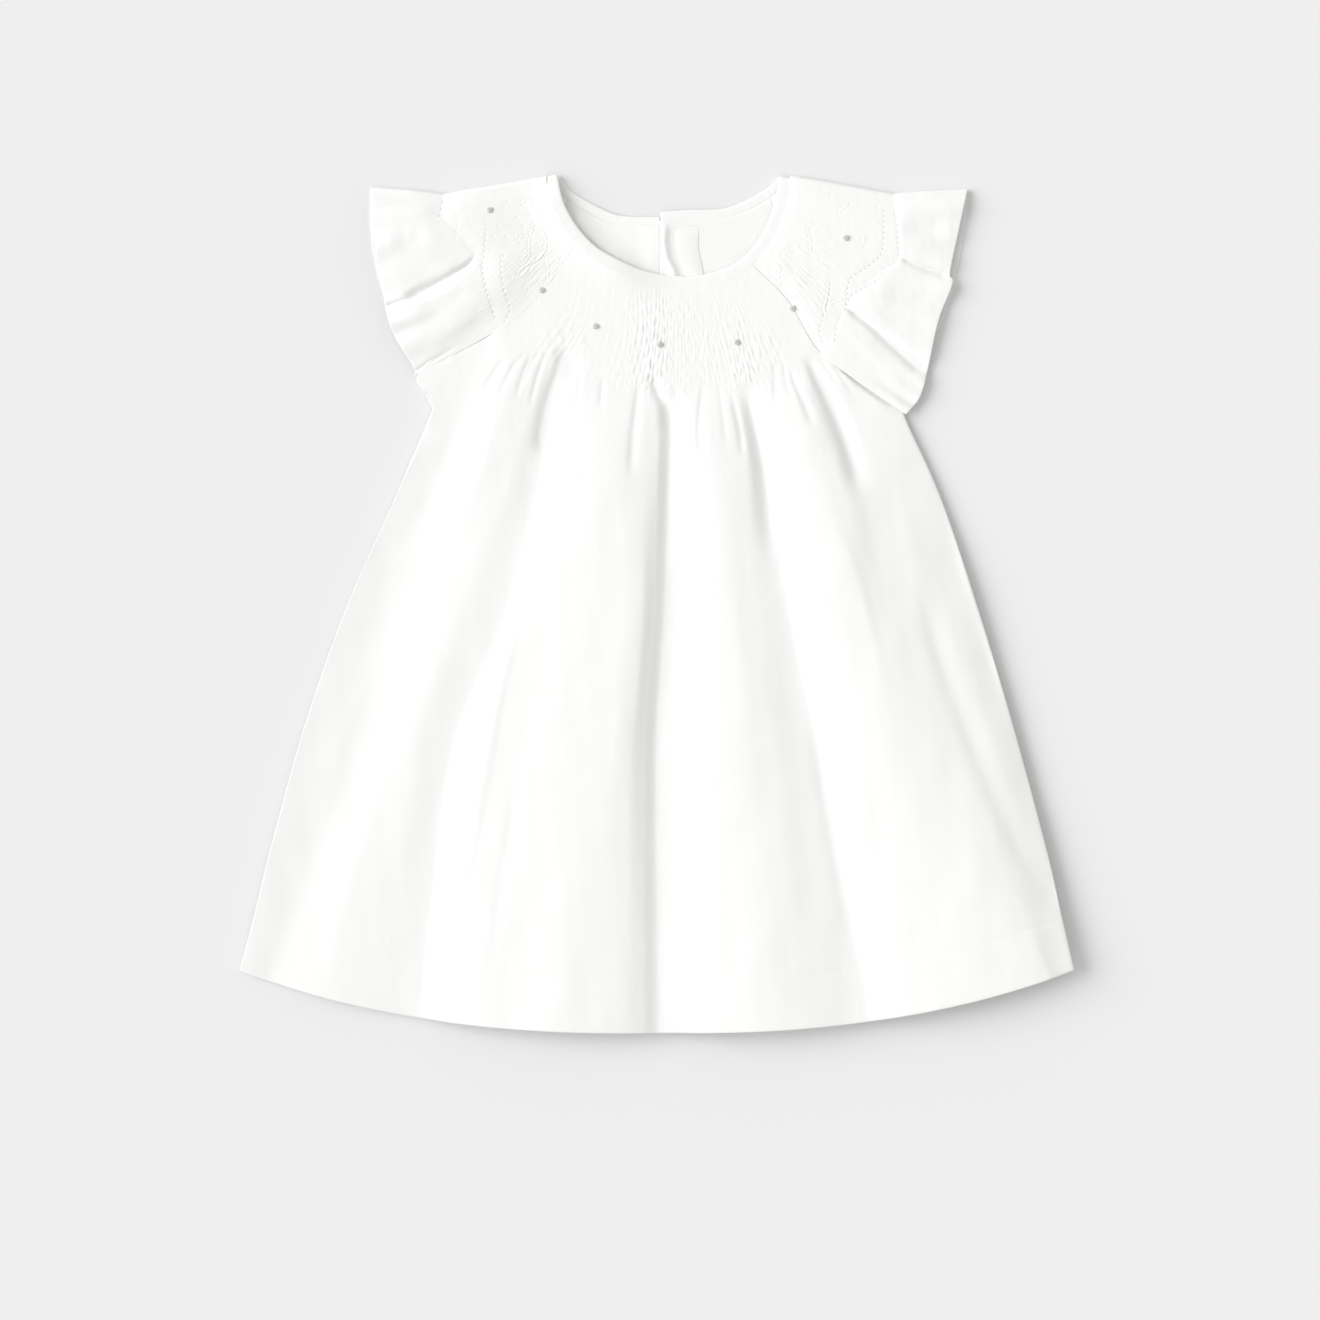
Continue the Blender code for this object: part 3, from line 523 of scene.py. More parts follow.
#  name, depth, width to the left, to the right, spread at its end, share that fades, plan points
FRONT_CREASES = (
    ("centre top", -1.3, 2.2, 1.8, 1.8, 0.2,
     ((-2.4, 118.0), (0.6, 106.0), (4.0, 98.0), (6.0, 84.0))),
    ("beside centre", -0.7, 2.2, 1.5, 1.4, 0.3,
     ((-8.6, 114.0), (-10.4, 97.0), (-12.0, 82.0), (-12.8, 60.0))),
    ("second top", -2.5, 6.2, 3.2, 1.4, 0.2,
     ((-44.2, 132.0), (-47.6, 115.0), (-53.2, 97.0), (-58.8, 72.0))),
    ("second ridge", 0.4, 1.6, 5.0, 1.6, 0.18,
     ((-54.8, 66.8), (-64.0, 20.0), (-78.0, -45.0), (-92.0, -120.0), (-108.5, -203.0))),
    ("faint crease", -0.25, 2.4, 2.0, 1.3, 0.35,
     ((-65.2, -55.8), (-73.0, -110.0), (-80.0, -160.0), (-86.2, -205.0))),
    ("third top", -1.35, 3.2, 3.0, 1.6, 0.3,
     ((43.5, 112.0), (47.6, 95.0), (51.6, 74.0), (55.4, 44.0), (58.4, 20.0))),
    ("beside third", -0.8, 1.6, 1.4, 1.3, 0.35,
     ((37.0, 108.0), (39.6, 96.0), (42.0, 84.0), (43.0, 70.0))),
    ("third lower", -0.6, 5.0, 3.0, 1.6, 0.3,
     ((76.0, -47.0), (83.0, -90.0), (92.0, -140.0), (101.0, -186.0))),
    ("fourth top", -2.1, 3.2, 2.1, 1.8, 0.2,
     ((73.6, 126.0), (79.2, 115.0), (86.4, 100.0), (94.4, 80.0), (101.5, 54.0))),
    ("far streak", 0.15, 2.5, 4.0, 1.5, 0.3,
     ((118.0, 75.0), (124.0, 45.0), (131.0, 14.0), (135.5, -4.0))),
    ("far shade", -1.0, 6.5, 4.0, 1.5, 0.25,
     ((130.0, 20.0), (139.0, -18.0), (151.0, -52.0), (165.0, -86.0), (177.0, -112.0), (191.0, -138.0),
      (203.0, -168.0))),
    ("gather 1", -0.3, 0.9, 0.7, 1.4, 0.3,
     ((-75.0, 125.0), (-81.5, 115.5), (-87.0, 106.0))),
    ("gather 2", -0.35, 0.9, 0.8, 1.4, 0.3,
     ((-68.5, 125.0), (-74.5, 114.0), (-80.0, 102.0))),
    ("gather 3", -0.25, 0.8, 0.7, 1.5, 0.3,
     ((-65.4, 127.0), (-71.0, 118.0), (-75.6, 109.0))),
    ("gather 4", -0.4, 1.0, 0.8, 1.5, 0.3,
     ((-62.0, 126.0), (-67.0, 114.0), (-70.5, 101.0))),
    ("gather 5", -0.25, 0.8, 0.7, 1.5, 0.3,
     ((-58.8, 128.0), (-63.4, 118.0), (-67.0, 108.0))),
    ("gather 6", -0.45, 1.0, 0.9, 1.5, 0.3,
     ((-55.5, 126.0), (-60.0, 112.0), (-64.0, 96.0))),
    ("gather 7", -0.3, 1.2, 1.0, 1.5, 0.35,
     ((-43.6, 112.0), (-46.0, 98.0), (-48.5, 78.0))),
    ("gather 8", -0.3, 0.9, 0.8, 1.6, 0.3,
     ((-38.0, 119.0), (-39.0, 107.0), (-40.5, 94.0))),
    ("gather 9", -0.35, 1.1, 1.0, 1.4, 0.35,
     ((-26.4, 116.0), (-27.4, 106.0), (-28.4, 95.0))),
    ("gather 10", -0.25, 1.4, 1.2, 1.5, 0.35,
     ((9.0, 112.0), (10.0, 100.0), (11.5, 86.0))),
    ("gather 11", -0.5, 1.3, 1.1, 1.3, 0.3,
     ((23.4, 112.0), (21.6, 96.0), (21.2, 84.0), (22.8, 68.0))),
    ("gather 12", -0.3, 1.3, 1.1, 1.4, 0.35,
     ((31.0, 112.0), (33.0, 95.0), (35.2, 74.0))),
    ("gather 13", -0.4, 1.2, 1.1, 1.2, 0.35,
     ((58.6, 122.0), (59.2, 110.0), (59.4, 98.0))),
    ("gather 14", -0.3, 0.9, 0.8, 1.5, 0.3,
     ((62.6, 124.0), (64.4, 113.0), (67.0, 101.0))),
    ("gather 15", -0.65, 1.5, 1.2, 1.5, 0.3,
     ((66.0, 120.0), (69.4, 110.0), (75.0, 97.0), (79.0, 86.0))),
    ("gather 16", -0.35, 1.3, 1.1, 1.4, 0.35,
     ((80.0, 124.0), (85.6, 117.0), (92.0, 108.0))),
    ("gather 17", -0.3, 0.9, 0.7, 1.4, 0.3,
     ((86.0, 121.5), (92.0, 114.0), (98.6, 104.0))),
    ("under frill", -1.4, 5.0, 1.3, 1.1, 0.25,
     ((84.0, 124.6), (103.4, 109.4), (124.4, 94.6))),
    ("left frill", -0.6, 5.0, 0.9, 1.0, 0.25,
     ((-116.0, 117.6), (-99.2, 126.8), (-77.8, 138.8))),
    ("left sag", -0.5, 12.0, 14.0, 1.2, 0.35,
     ((-112.0, 40.0), (-128.0, 0.0), (-142.0, -40.0))),
    ("left side", 0.8, 7.0, 9.0, 1.4, 0.3,
     ((-142.0, -20.0), (-158.0, -70.0), (-172.0, -130.0))),
)

#  where a side seam pulls the cloth in: x, y, depth, reach across, reach down
PUCKERS = (
    (-118.0, 86.0, -0.6, 7.0, 4.0), (-123.0, 62.0, -0.5, 8.0, 5.0), (-137.0, 26.0, -0.6, 8.0, 5.0),
    (-158.0, -22.0, -0.5, 9.0, 6.0), (-176.0, -74.0, -0.6, 9.0, 6.0), (-190.0, -128.0, -0.5, 8.0, 6.0),
    (133.0, 70.0, -0.5, 7.0, 5.0), (149.0, 24.0, -0.5, 8.0, 5.0), (166.0, -30.0, -0.6, 8.0, 6.0),
    (183.0, -92.0, -0.5, 8.0, 6.0), (197.0, -146.0, -0.5, 7.0, 6.0),
)

#  mm high, seed, length, stretch, first row, rows until it is full
FRONT_SWELLS = (
    (0.45, 5, 42.0, (1.0, 0.35), RELEASE, 2.0),
    (0.16, 6, 13.0, (1.0, 0.45), 0.4, 1.5),
    (0.05, 7, 4.5, (1.0, 0.6), -1.0, 1.0),
)


def table_column(table, column, at):
    """Values of one column of a table whose first column is a place, read between its rows."""
    table = np.array(table, dtype=float)
    return np.interp(at, table[:, 0], table[:, column])


def pleat_edges(table, count, seed):
    """Places of the valleys between a number of pleats, as uneven as a hand gathers them."""
    chance = np.random.default_rng(seed)
    low, high = table[0][0], table[-1][0]
    guess = np.linspace(low, high, count)
    widths = table_column(table, 1, guess) * (1.0 + chance.uniform(-0.28, 0.28, count))
    return low + (high - low) * np.concatenate([[0.0], np.cumsum(widths)]) / widths.sum()


def pleat_shape(places, edges):
    """The pleat that each place is in, and how full it is there: round on top, narrow at its valleys."""
    index = np.clip(np.searchsorted(edges, places, side="right") - 1, 0, len(edges) - 2)
    part = np.clip((places - edges[index]) / (edges[index + 1] - edges[index]), 0.0, 1.0)
    return index, (1.0 - np.abs(2.0 * part - 1.0) ** 2.2) ** 0.8


def row_share(place, left_side, right_side):
    """Where places across the pleats lie along a row, with plain cloth at its two sides."""
    middle = blend(left_side, 1.0 - right_side, (place - SIDE_PLEATS) / (1.0 - 2.0 * SIDE_PLEATS))
    left = left_side * place / SIDE_PLEATS
    right = 1.0 - right_side * (1.0 - place) / SIDE_PLEATS
    return np.where(place < SIDE_PLEATS, left, np.where(place > 1.0 - SIDE_PLEATS, right, middle))


def gathered_plan(places, downs):
    """Plan points of the front for a grid of places, with a row of it for each of downs."""
    lines = []
    for name, left_x, left_y, right_x, right_y, sag, left_side, right_side in FRONT_ROWS:
        share = row_share(places, left_side, right_side)
        if name == "neck":
            lines.append(beside_curve(NECK_FRONT, blend(*NECK_RAGLAN, share), FRONT_SEAM))
            continue
        hang = sag * (1.0 - np.abs(2.0 * share - 1.0) ** ROW_FULLNESS)
        level = blend(left_y, right_y, share)
        lines.append(np.stack([blend(left_x, right_x, share), level - hang], axis=-1))
    return catmull(lines, downs, np.arange(len(downs)))


def fold_places(count, downs):
    """Even columns over the yoke, drawn towards the steep valleys down the skirt."""
    even = np.linspace(0.0, 1.0, count + 1)
    fine = np.linspace(0.0, 1.0, 601)
    grid = []
    for down in downs:
        pull = 1.2 * soft(max(down - RELEASE, 0.0) * 0.45)
        line = gathered_plan(fine[None, :], np.array([down]))[0]
        spans = np.linalg.norm(np.gradient(line, axis=0), axis=1)
        weight = spans / spans.mean()
        for name, xs, _ in FOLDS:
            if name in STEEP_FOLDS:
                x = np.interp(line[len(fine) // 2, 1], SECTION_ROWS[::-1], xs[::-1])
                centre = np.interp(x, line[:, 0], fine)
                weight += pull * np.exp(-((fine - centre) / STEEP_WIDTH) ** 2)
        total = np.concatenate([[0.0], np.cumsum(0.5 * (weight[1:] + weight[:-1]))])
        grid.append(np.interp(even, total / total[-1], fine))
    return np.array(grid)


def patchy(plan):
    """How much the smocking stands out at plan points."""
    total = np.full(plan.shape[:-1], PATCH_FLOOR)
    for x, y, across, down, share in SMOCKED_PATCHES:
        total += share * mound(plan, x, y, across, down)
    return np.minimum(total, 1.0)


def from_left_neck(plan):
    """The distance of plan points from the neck's left and front part."""
    return line_place(plan, catmull(NECK_FRONT, np.linspace(0.0, 7.0, 40)))[0]


def neck_swell(plan):
    """The lift of the cloth beside the neck, where it stands up over its left side."""
    side = soft((8.0 - plan[..., 0]) / 34.0) * soft((216.0 - plan[..., 1]) / 16.0)
    return NECK_LIFT * np.exp(-(np.maximum(from_left_neck(plan), 0.0) / NECK_REACH) ** 2) * side


def smocked(plan, places, downs, edges, seed):
    """The lift of the smocking and of its gathers below it, as uneven as hand gathering."""
    chance = np.random.default_rng(seed)
    count = len(edges) - 1
    pitch = (edges[-1] - edges[0]) / count
    order = np.interp(places, edges, np.arange(count + 1))
    down = downs[:, None]
    turns = math.pi * (down * ZIGZAG_PACE) + 0.6 * np.sin(order * 0.7)
    zigzag = ZIGZAG * np.sin(math.pi * order) * np.cos(turns)
    wander = WANDER[0] * np.sin(order * 0.53 + down * 2.1) + WANDER[1] * np.sin(order * 1.31 - down * 4.3)
    index, full = pleat_shape(places + (zigzag + wander * 0.6) * pitch, edges)
    depth = blend(table_column(SMOCKING, 2, places), table_column(SMOCKING, 3, places),
                  soft(down / RELEASE))
    own = chance.uniform(0.65, 1.35, count)
    phase, beat = chance.uniform(0.0, math.tau, (2, count))
    uneven = own[index] * np.maximum(0.62 + 0.62 * np.sin(phase[index] + down * 23.0)
                                     + 0.35 * np.sin(beat[index] + down * 9.0), 0.0)
    run = table_column(SMOCKING, 4, places) * (chance.uniform(0.35, 1.35, count))[index]
    below = np.maximum(down - RELEASE, 0.0) * YOKE_ROW
    fading = np.exp(-(below / run) ** 1.6)
    start = soft((down - 0.02) / 0.25)
    inside = soft((places - SIDE_PLEATS) / 0.02) * soft((1.0 - SIDE_PLEATS - places) / 0.02)
    return PLEAT_DEPTH * depth * uneven * fading * start * inside * patchy(plan) * (full - PLEAT_LEVEL)


def front_rows():
    """The rows of the front's mesh, close together on the yoke, at the hem and along its stitching."""
    neck = np.concatenate([edge_steps(YOKE_ROW), np.linspace(0.12, RELEASE, YOKE_ROWS)])
    gathers = np.linspace(RELEASE, GATHERS_END, GATHER_ROWS + 1)[1:]
    skirt = np.linspace(GATHERS_END, SKIRT_END, SKIRT_ROWS + 1)[1:]
    hem = HEM - edge_steps(HEM_DEPTH)[::-1]
    stitch = HEM_STITCH + np.array([-0.05, -0.02, 0.0, 0.02, 0.05])
    return np.unique(np.concatenate([neck, gathers, skirt, stitch, hem]))


def front_places(downs):
    """The columns of the front's mesh, with close ones along both sides."""
    places = fold_places(FRONT_COLUMNS, downs)
    side = edge_steps(ROW_SPAN)
    close = len(side)
    places[:, 1:close] = side[1:]
    places[:, -close:-1] = 1.0 - side[1:][::-1]
    inner = places[:, close:-close]
    inner = (inner - inner[:, :1]) / (inner[:, -1:] - inner[:, :1])
    places[:, close:-close] = blend(side[-1] * 1.4, 1.0 - side[-1] * 1.4, inner)
    return places


def front_underside(plan, places, down):
    """Level on the yoke, then down on the folds, sooner beside the armholes."""
    folded = soft((down - RELEASE + 0.2) / 1.6)
    beside = 1.0 - soft(np.minimum(places, 1.0 - places) / 0.09)
    folded = blend(folded, soft((down - RELEASE + 0.05) / 0.75), beside)
    return blend(YOKE_LIFT, sampled(fold_map(), plan), folded) + neck_swell(plan)


def front_lift(plan, places, downs):
    """What stands on the folds: creases, the seams' pull, swells, smocking and the hem."""
    down = downs[:, None]
    lift = crease_lift(plan, FRONT_CREASES) * soft((down - 1.2) / 0.8)
    for x, y, depth, across, reach in PUCKERS:
        lift += depth * mound(plan, x, y, across, reach)
    for height, seed, length, stretch, first, reach in FRONT_SWELLS:
        lift += height * ripple(plan, seed, length, stretch) * soft((down - first) / reach)
    lift += smocked(plan, places, downs, pleat_edges(SMOCKING, FRONT_PLEATS, 11), 21)
    lift += HEM_RAISE * soft((down - HEM_STITCH) / 0.05)
    lift -= STITCH_SINK * np.exp(-((down - HEM_STITCH) / 0.035) ** 2)
    return lift


def make_front(finish):
    """The whole front as one closed sheet."""
    downs = front_rows()
    down = downs[:, None]
    places = front_places(downs)
    plan = gathered_plan(places, downs)
    low = front_underside(plan, places, down)
    lift = front_lift(plan, places, downs)
    floor = CUT_LEAST - low * CUT_SHARE
    lift = floor + 0.5 * (lift - floor + np.sqrt((lift - floor) ** 2 + CUT_BEND ** 2))
    full = edge_drop((HEM - down) * HEM_DEPTH, HEM_ROUND) * edge_drop(down * YOKE_ROW + 0.4, NECK_ROUND)
    from_side = np.minimum(places, 1.0 - places) * ROW_SPAN
    least = np.where(places < 0.5, *SIDE_FULL)
    full = blend(EDGE_FULL, 1.0, full) * blend(least, 1.0, edge_drop(from_side, SIDE_ROUND))
    top = low + WALL * 0.5 + (WALL * 0.5 + lift) * full
    under = raised(plan, np.minimum(low, lowest_near(top - THIN, 3, 4)))
    inner = [under[row][::4] for row in every_few(len(under), 3)]
    return shell("front_cloth", raised(plan, top), inner, finish)


# ---------------------------------------------------------------------------------------------------------
# Sleeves: a smocked head, rows of stitches and a flounce, folded at the shoulder.

SLEEVE_COLUMNS = 230
BEND_COLUMNS = 10
UNDER_COLUMNS = 20
HEAD_ROWS = 96
FLOUNCE_ROWS = 64
SLEEVE_PLEATS = 25
SLEEVE_PLEAT_DEPTH = 0.40
SLEEVE_EDGE = 0.42       # the flounce's thickness at its edge, as a share of the wall
FLOUNCE_FULL, FLOUNCE_ROUND = 0.2, 0.8     # how full its edge is, and how far in that goes in mm
SLEEVE_FLOOR, FLOOR_FALL = 2.85, 0.9       # mm, the least height at the front seam, and its fall
HEAD_SWELL = 0.8         # mm, how far the head rounds up
SLEEVE_SWELL = (0.35, 24.0)                # mm high and long, the uneven swell of the flounce
CLOTH_GRAIN = (0.06, 6.0)                  # mm high and long, the same of the cloth's face
EDGE_WAVES = ((0.5, 34.0, 1.3), (0.35, 61.0, 0.0))     # mm high, pace and start
HEAD_ZIGZAG, HEAD_WANDER = 0.22, 0.26      # of a pleat's pitch
HEAD_BEATS = 9           # rows of smocking from the neck to the stitches
CABLE_RISE = 0.15        # mm
CABLE_WIDTH = 0.36       # mm
KNOT_DEPTH = 0.30        # mm, how far a smocking knot pulls the cloth in
KNOT_WIDTH = 0.42        # mm
KNOT_CHANCE = 0.62       # above which a place in the smocking has a knot
ROW_DEPTH = 0.24         # mm, how far a row of stitches pulls the cloth in
ROW_WIDTH = 0.40         # mm
STITCH_PITCH = 2.7       # mm

#  across  pitch  depth at neck  at stitches  gathers run
HEAD_SMOCKING = (
    (0.02,  1.10,  0.50,  0.70,  0.30),
    (0.18,  0.95,  0.85,  1.10,  0.34),
    (0.38,  0.90,  0.80,  1.20,  0.38),
    (0.58,  1.00,  0.50,  0.90,  0.30),
    (0.80,  1.15,  0.25,  0.50,  0.26),
    (0.99,  1.20,  0.15,  0.30,  0.22),
)

#  name, depth, width to the left, to the right, spread at its end, share that fades, plan points
LEFT_CREASES = (
    ("valley", -2.3, 1.6, 0.8, 2.6, 0.18,
     ((-90.6, 176.4), (-92.4, 171.6), (-101.0, 165.6), (-113.0, 158.6), (-127.0, 153.0))),
    ("valley end", -1.0, 4.0, 3.2, 1.3, 0.3,
     ((-104.0, 164.0), (-120.0, 155.5), (-142.0, 147.5))),
    ("valley lip", 0.2, 1.2, 2.2, 2.0, 0.3,
     ((-94.0, 175.6), (-104.0, 168.8), (-116.0, 162.2), (-126.0, 157.5))),
    ("upper hollow", -0.7, 5.0, 5.0, 1.0, 0.4,
     ((-112.0, 186.0), (-122.0, 183.0), (-134.0, 183.0))),
    ("upper band", 0.4, 4.0, 3.0, 1.0, 0.3,
     ((-108.0, 195.5), (-124.0, 196.0), (-140.0, 195.0))),
    ("lower hollow", -0.6, 4.0, 5.0, 1.2, 0.35,
     ((-90.0, 158.0), (-104.0, 150.0), (-120.0, 143.0))),
    ("lower fold", 0.5, 3.0, 4.0, 1.2, 0.35,
     ((-86.0, 148.0), (-102.0, 137.0), (-118.0, 126.0))),
)
RIGHT_CREASES = (
    ("high valley", -1.4, 0.7, 1.3, 2.0, 0.16,
     ((121.6, 173.2), (126.0, 171.0), (134.0, 168.2), (147.0, 164.0))),
    ("high lip", 0.2, 2.4, 1.2, 1.3, 0.3,
     ((124.0, 177.4), (134.0, 172.6), (146.0, 168.8))),
    ("low valley", -2.3, 0.8, 1.4, 2.8, 0.14,
     ((93.8, 149.0), (98.6, 145.4), (105.0, 141.0), (119.0, 129.6), (135.6, 116.4))),
    ("low lip", 0.2, 2.4, 1.4, 1.3, 0.3,
     ((98.6, 151.6), (108.6, 145.4), (121.6, 133.4), (136.4, 121.6))),
    ("upper hollow", -1.0, 6.0, 5.0, 1.0, 0.4,
     ((122.0, 190.0), (134.0, 187.0), (147.0, 188.0))),
    ("upper band", 0.4, 3.0, 4.0, 1.0, 0.3,
     ((120.0, 199.0), (136.0, 199.5), (152.0, 199.0))),
    ("middle hollow", -0.6, 5.0, 5.0, 1.2, 0.4,
     ((112.0, 159.0), (124.0, 153.0), (138.0, 149.0))),
    ("lowest fold", 0.4, 4.0, 3.0, 1.2, 0.35,
     ((92.0, 139.0), (108.0, 126.0), (124.0, 110.0))),
)

#  the rows of stitches: name, depth, plan points
LEFT_ROWS = (
    ("outer", 1.0,
     ((-85.2, 188.6), (-86.2, 174.8), (-87.2, 169.8), (-86.2, 160.8), (-82.8, 149.2), (-80.6, 142.6))),
    ("inner", 0.8,
     ((-76.8, 175.8), (-77.8, 168.8), (-76.8, 159.0), (-74.8, 153.0), (-73.4, 146.6), (-76.6, 140.0))),
    ("flounce", 0.5,
     ((-106.4, 202.0), (-108.2, 196.0), (-108.9, 189.0))),
    ("zigzag", 0.7,
     ((-100.5, 197.5), (-99.2, 190.0), (-100.0, 182.0), (-96.0, 180.3), (-94.0, 177.3), (-91.0, 175.8))),
)
RIGHT_ROWS = (
    ("flounce", 1.0,
     ((118.6, 197.0), (120.3, 187.4), (120.9, 176.8), (121.8, 173.0))),
    ("outer", 0.5,
     ((121.8, 173.0), (114.4, 167.3), (108.5, 160.8), (97.6, 154.6), (94.3, 148.3), (90.6, 141.3),
      (88.6, 130.6))),
    ("dotted", 0.9,
     ((113.2, 198.0), (112.6, 176.8), (107.3, 170.3), (101.4, 166.1), (96.0, 161.4), (94.3, 148.3))),
    ("inner", 0.9,
     ((86.6, 161.4), (84.8, 148.3), (81.3, 137.0), (83.2, 130.0))),
)
#  the cables worked across the smocked heads
LEFT_CABLES = (
    ((-70.4, 185.5), (-69.1, 182.6), (-65.6, 183.7), (-63.3, 183.7)),
    ((-61.5, 191.5), (-61.3, 187.8), (-62.9, 184.6), (-63.6, 180.5), (-63.3, 176.8), (-63.3, 172.7)),
    ((-61.3, 188.1), (-56.9, 187.8), (-55.0, 181.9), (-55.0, 177.7), (-56.4, 175.0), (-60.1, 171.3),
     (-65.6, 169.0), (-69.8, 165.3)),
    ((-55.0, 173.6), (-53.7, 168.1), (-54.1, 162.5), (-52.7, 159.8)),
    ((-47.7, 172.7), (-47.2, 169.0), (-50.0, 165.3), (-53.7, 160.7)),
    ((-65.6, 159.8), (-65.1, 154.7)),
    ((-67.0, 199.4), (-65.6, 202.1), (-62.4, 204.0), (-61.5, 202.1)),
    ((-75.8, 199.4), (-74.4, 201.2)),
)
RIGHT_CABLES = (
    ((75.2, 189.7), (76.5, 184.6), (77.0, 180.0), (77.5, 175.4)),
    ((62.3, 169.0), (60.9, 162.5), (62.3, 157.9), (66.0, 152.4)),
    ((103.7, 185.5), (103.9, 179.1)),
    ((90.8, 194.8), (93.6, 198.0), (96.8, 200.3)),
    ((86.2, 160.7), (85.3, 153.3), (83.5, 147.8), (85.3, 142.7)),
    ((93.6, 152.4), (89.0, 151.0), (85.3, 148.7)),
)

# A sleeve: the way it turns, where its raglan and its shoulder are along the neck, the gap of its seam and
# how far its flounce's lower edge bows out over the front, both in mm, how late its head swells, how high
# and how soon its flounce does, how full its front edge is, and its tables.
Sleeve = namedtuple("Sleeve", "name left turn raglan shoulder gap bow head_bend swell swell_bend least "
                              "spokes creases rows cables")
LEFT_SLEEVE = Sleeve(
    "sleeve_left_cloth", True, -1.0, NECK_RAGLAN[0], 0.0, gap=0.03, bow=(-0.3, -0.8), head_bend=2.5,
    swell=0.9, swell_bend=1.0, least=1.0,
    spokes=LEFT_SPOKES, creases=LEFT_CREASES, rows=LEFT_ROWS, cables=LEFT_CABLES)
RIGHT_SLEEVE = Sleeve(
    "sleeve_right_cloth", False, 1.0, NECK_RAGLAN[1], 1.0, gap=0.04, bow=(-1.1, -1.5), head_bend=0.5,
    swell=0.7, swell_bend=0.6, least=0.2,
    spokes=RIGHT_SPOKES, creases=RIGHT_CREASES, rows=RIGHT_ROWS, cables=RIGHT_CABLES)


def front_side(left, downs):
    """Plan points of the front's own side edge."""
    places = np.full((len(downs), 1), 0.0 if left else 1.0)
    return gathered_plan(places, np.asarray(downs, dtype=float))[:, 0]


def sleeve_middle(sleeve, across, outs):
    """The middle of a sleeve's upper layer, out from the neck and across from front seam to shoulder."""
    spokes = np.array([row[1:] for row in sleeve.spokes])
    spoke = catmull(spokes, across * (len(spokes) - 1))[None]
    neck = beside_curve(NECK_FRONT, blend(sleeve.raglan, sleeve.shoulder, across), FRONT_SEAM)[None]
    start = beside_curve(NECK_FRONT, [sleeve.raglan], FRONT_SEAM)
    head = np.minimum(outs, 1.0)[:, None]
    part = np.maximum(outs - 1.0, 0.0)[:, None]

    seam = front_side(sleeve.left, head[:, 0] * RELEASE)
    run = unit(front_side(sleeve.left, head[:, 0] * RELEASE + 0.1) - seam)
    seam = seam + np.stack([-run[:, 1], run[:, 0]], axis=-1) * sleeve.gap * sleeve.turn
    plain = blend(start, spokes[0, :2], head)
    pull = (1.0 - soft(across * 3.0))[None, :]
    plan = blend(neck, spoke[..., :2], head[..., None])
    plan = plan + (seam - plain)[:, None] * pull[..., None] * (1.0 - soft(part * 8.0))[..., None]
    plan = plan + (spoke[..., 2:4] - spoke[..., :2]) * part[..., None]
    bow = soft(part * 24.0) * (1.0 - part ** 2) * (1.0 - soft(across * 5.0))[None, :]
    plan = plan + np.array(sleeve.bow) * bow[..., None]

    level = YOKE_LIFT + 0.5 * WALL
    stitch_z, edge_z = spoke[..., 4], spoke[..., 5]
    seamed = soft(across * 9.0)[None, :]
    rise = blend(soft((outs[:, None] - 0.94) / 0.14), soft(head * 0.5) * 2.0, seamed)
    high = level + (stitch_z - level) * rise + (edge_z - stitch_z) * part
    high = high + HEAD_SWELL * np.sin(math.pi * head ** sleeve.head_bend) * soft(across * 5.0)[None, :]
    swell = soft(across * 3.0)[None, :] * sleeve.swell
    high = high + swell * np.sin(math.pi * part ** sleeve.swell_bend)
    return raised(plan, high)


def sleeve_layer_lift(sleeve, middle, across, outs):
    """The lift of a sleeve's whole layer: its creases, its swell and the waves of its edge."""
    part = np.maximum(outs - 1.0, 0.0)[:, None]
    across = across[None, :]
    lift = crease_lift(middle, sleeve.creases) * soft((outs[:, None] - 0.9) / 0.25)
    height, length = SLEEVE_SWELL
    lift += height * ripple(middle, 31 + sleeve.left, length) * soft(part * 4.0) * soft(across * 8.0)
    wave = sum(height * np.sin(across * pace + start) for height, pace, start in EDGE_WAVES)
    return lift + wave * soft((part - 0.35) / 0.65) * soft(across * 14.0)


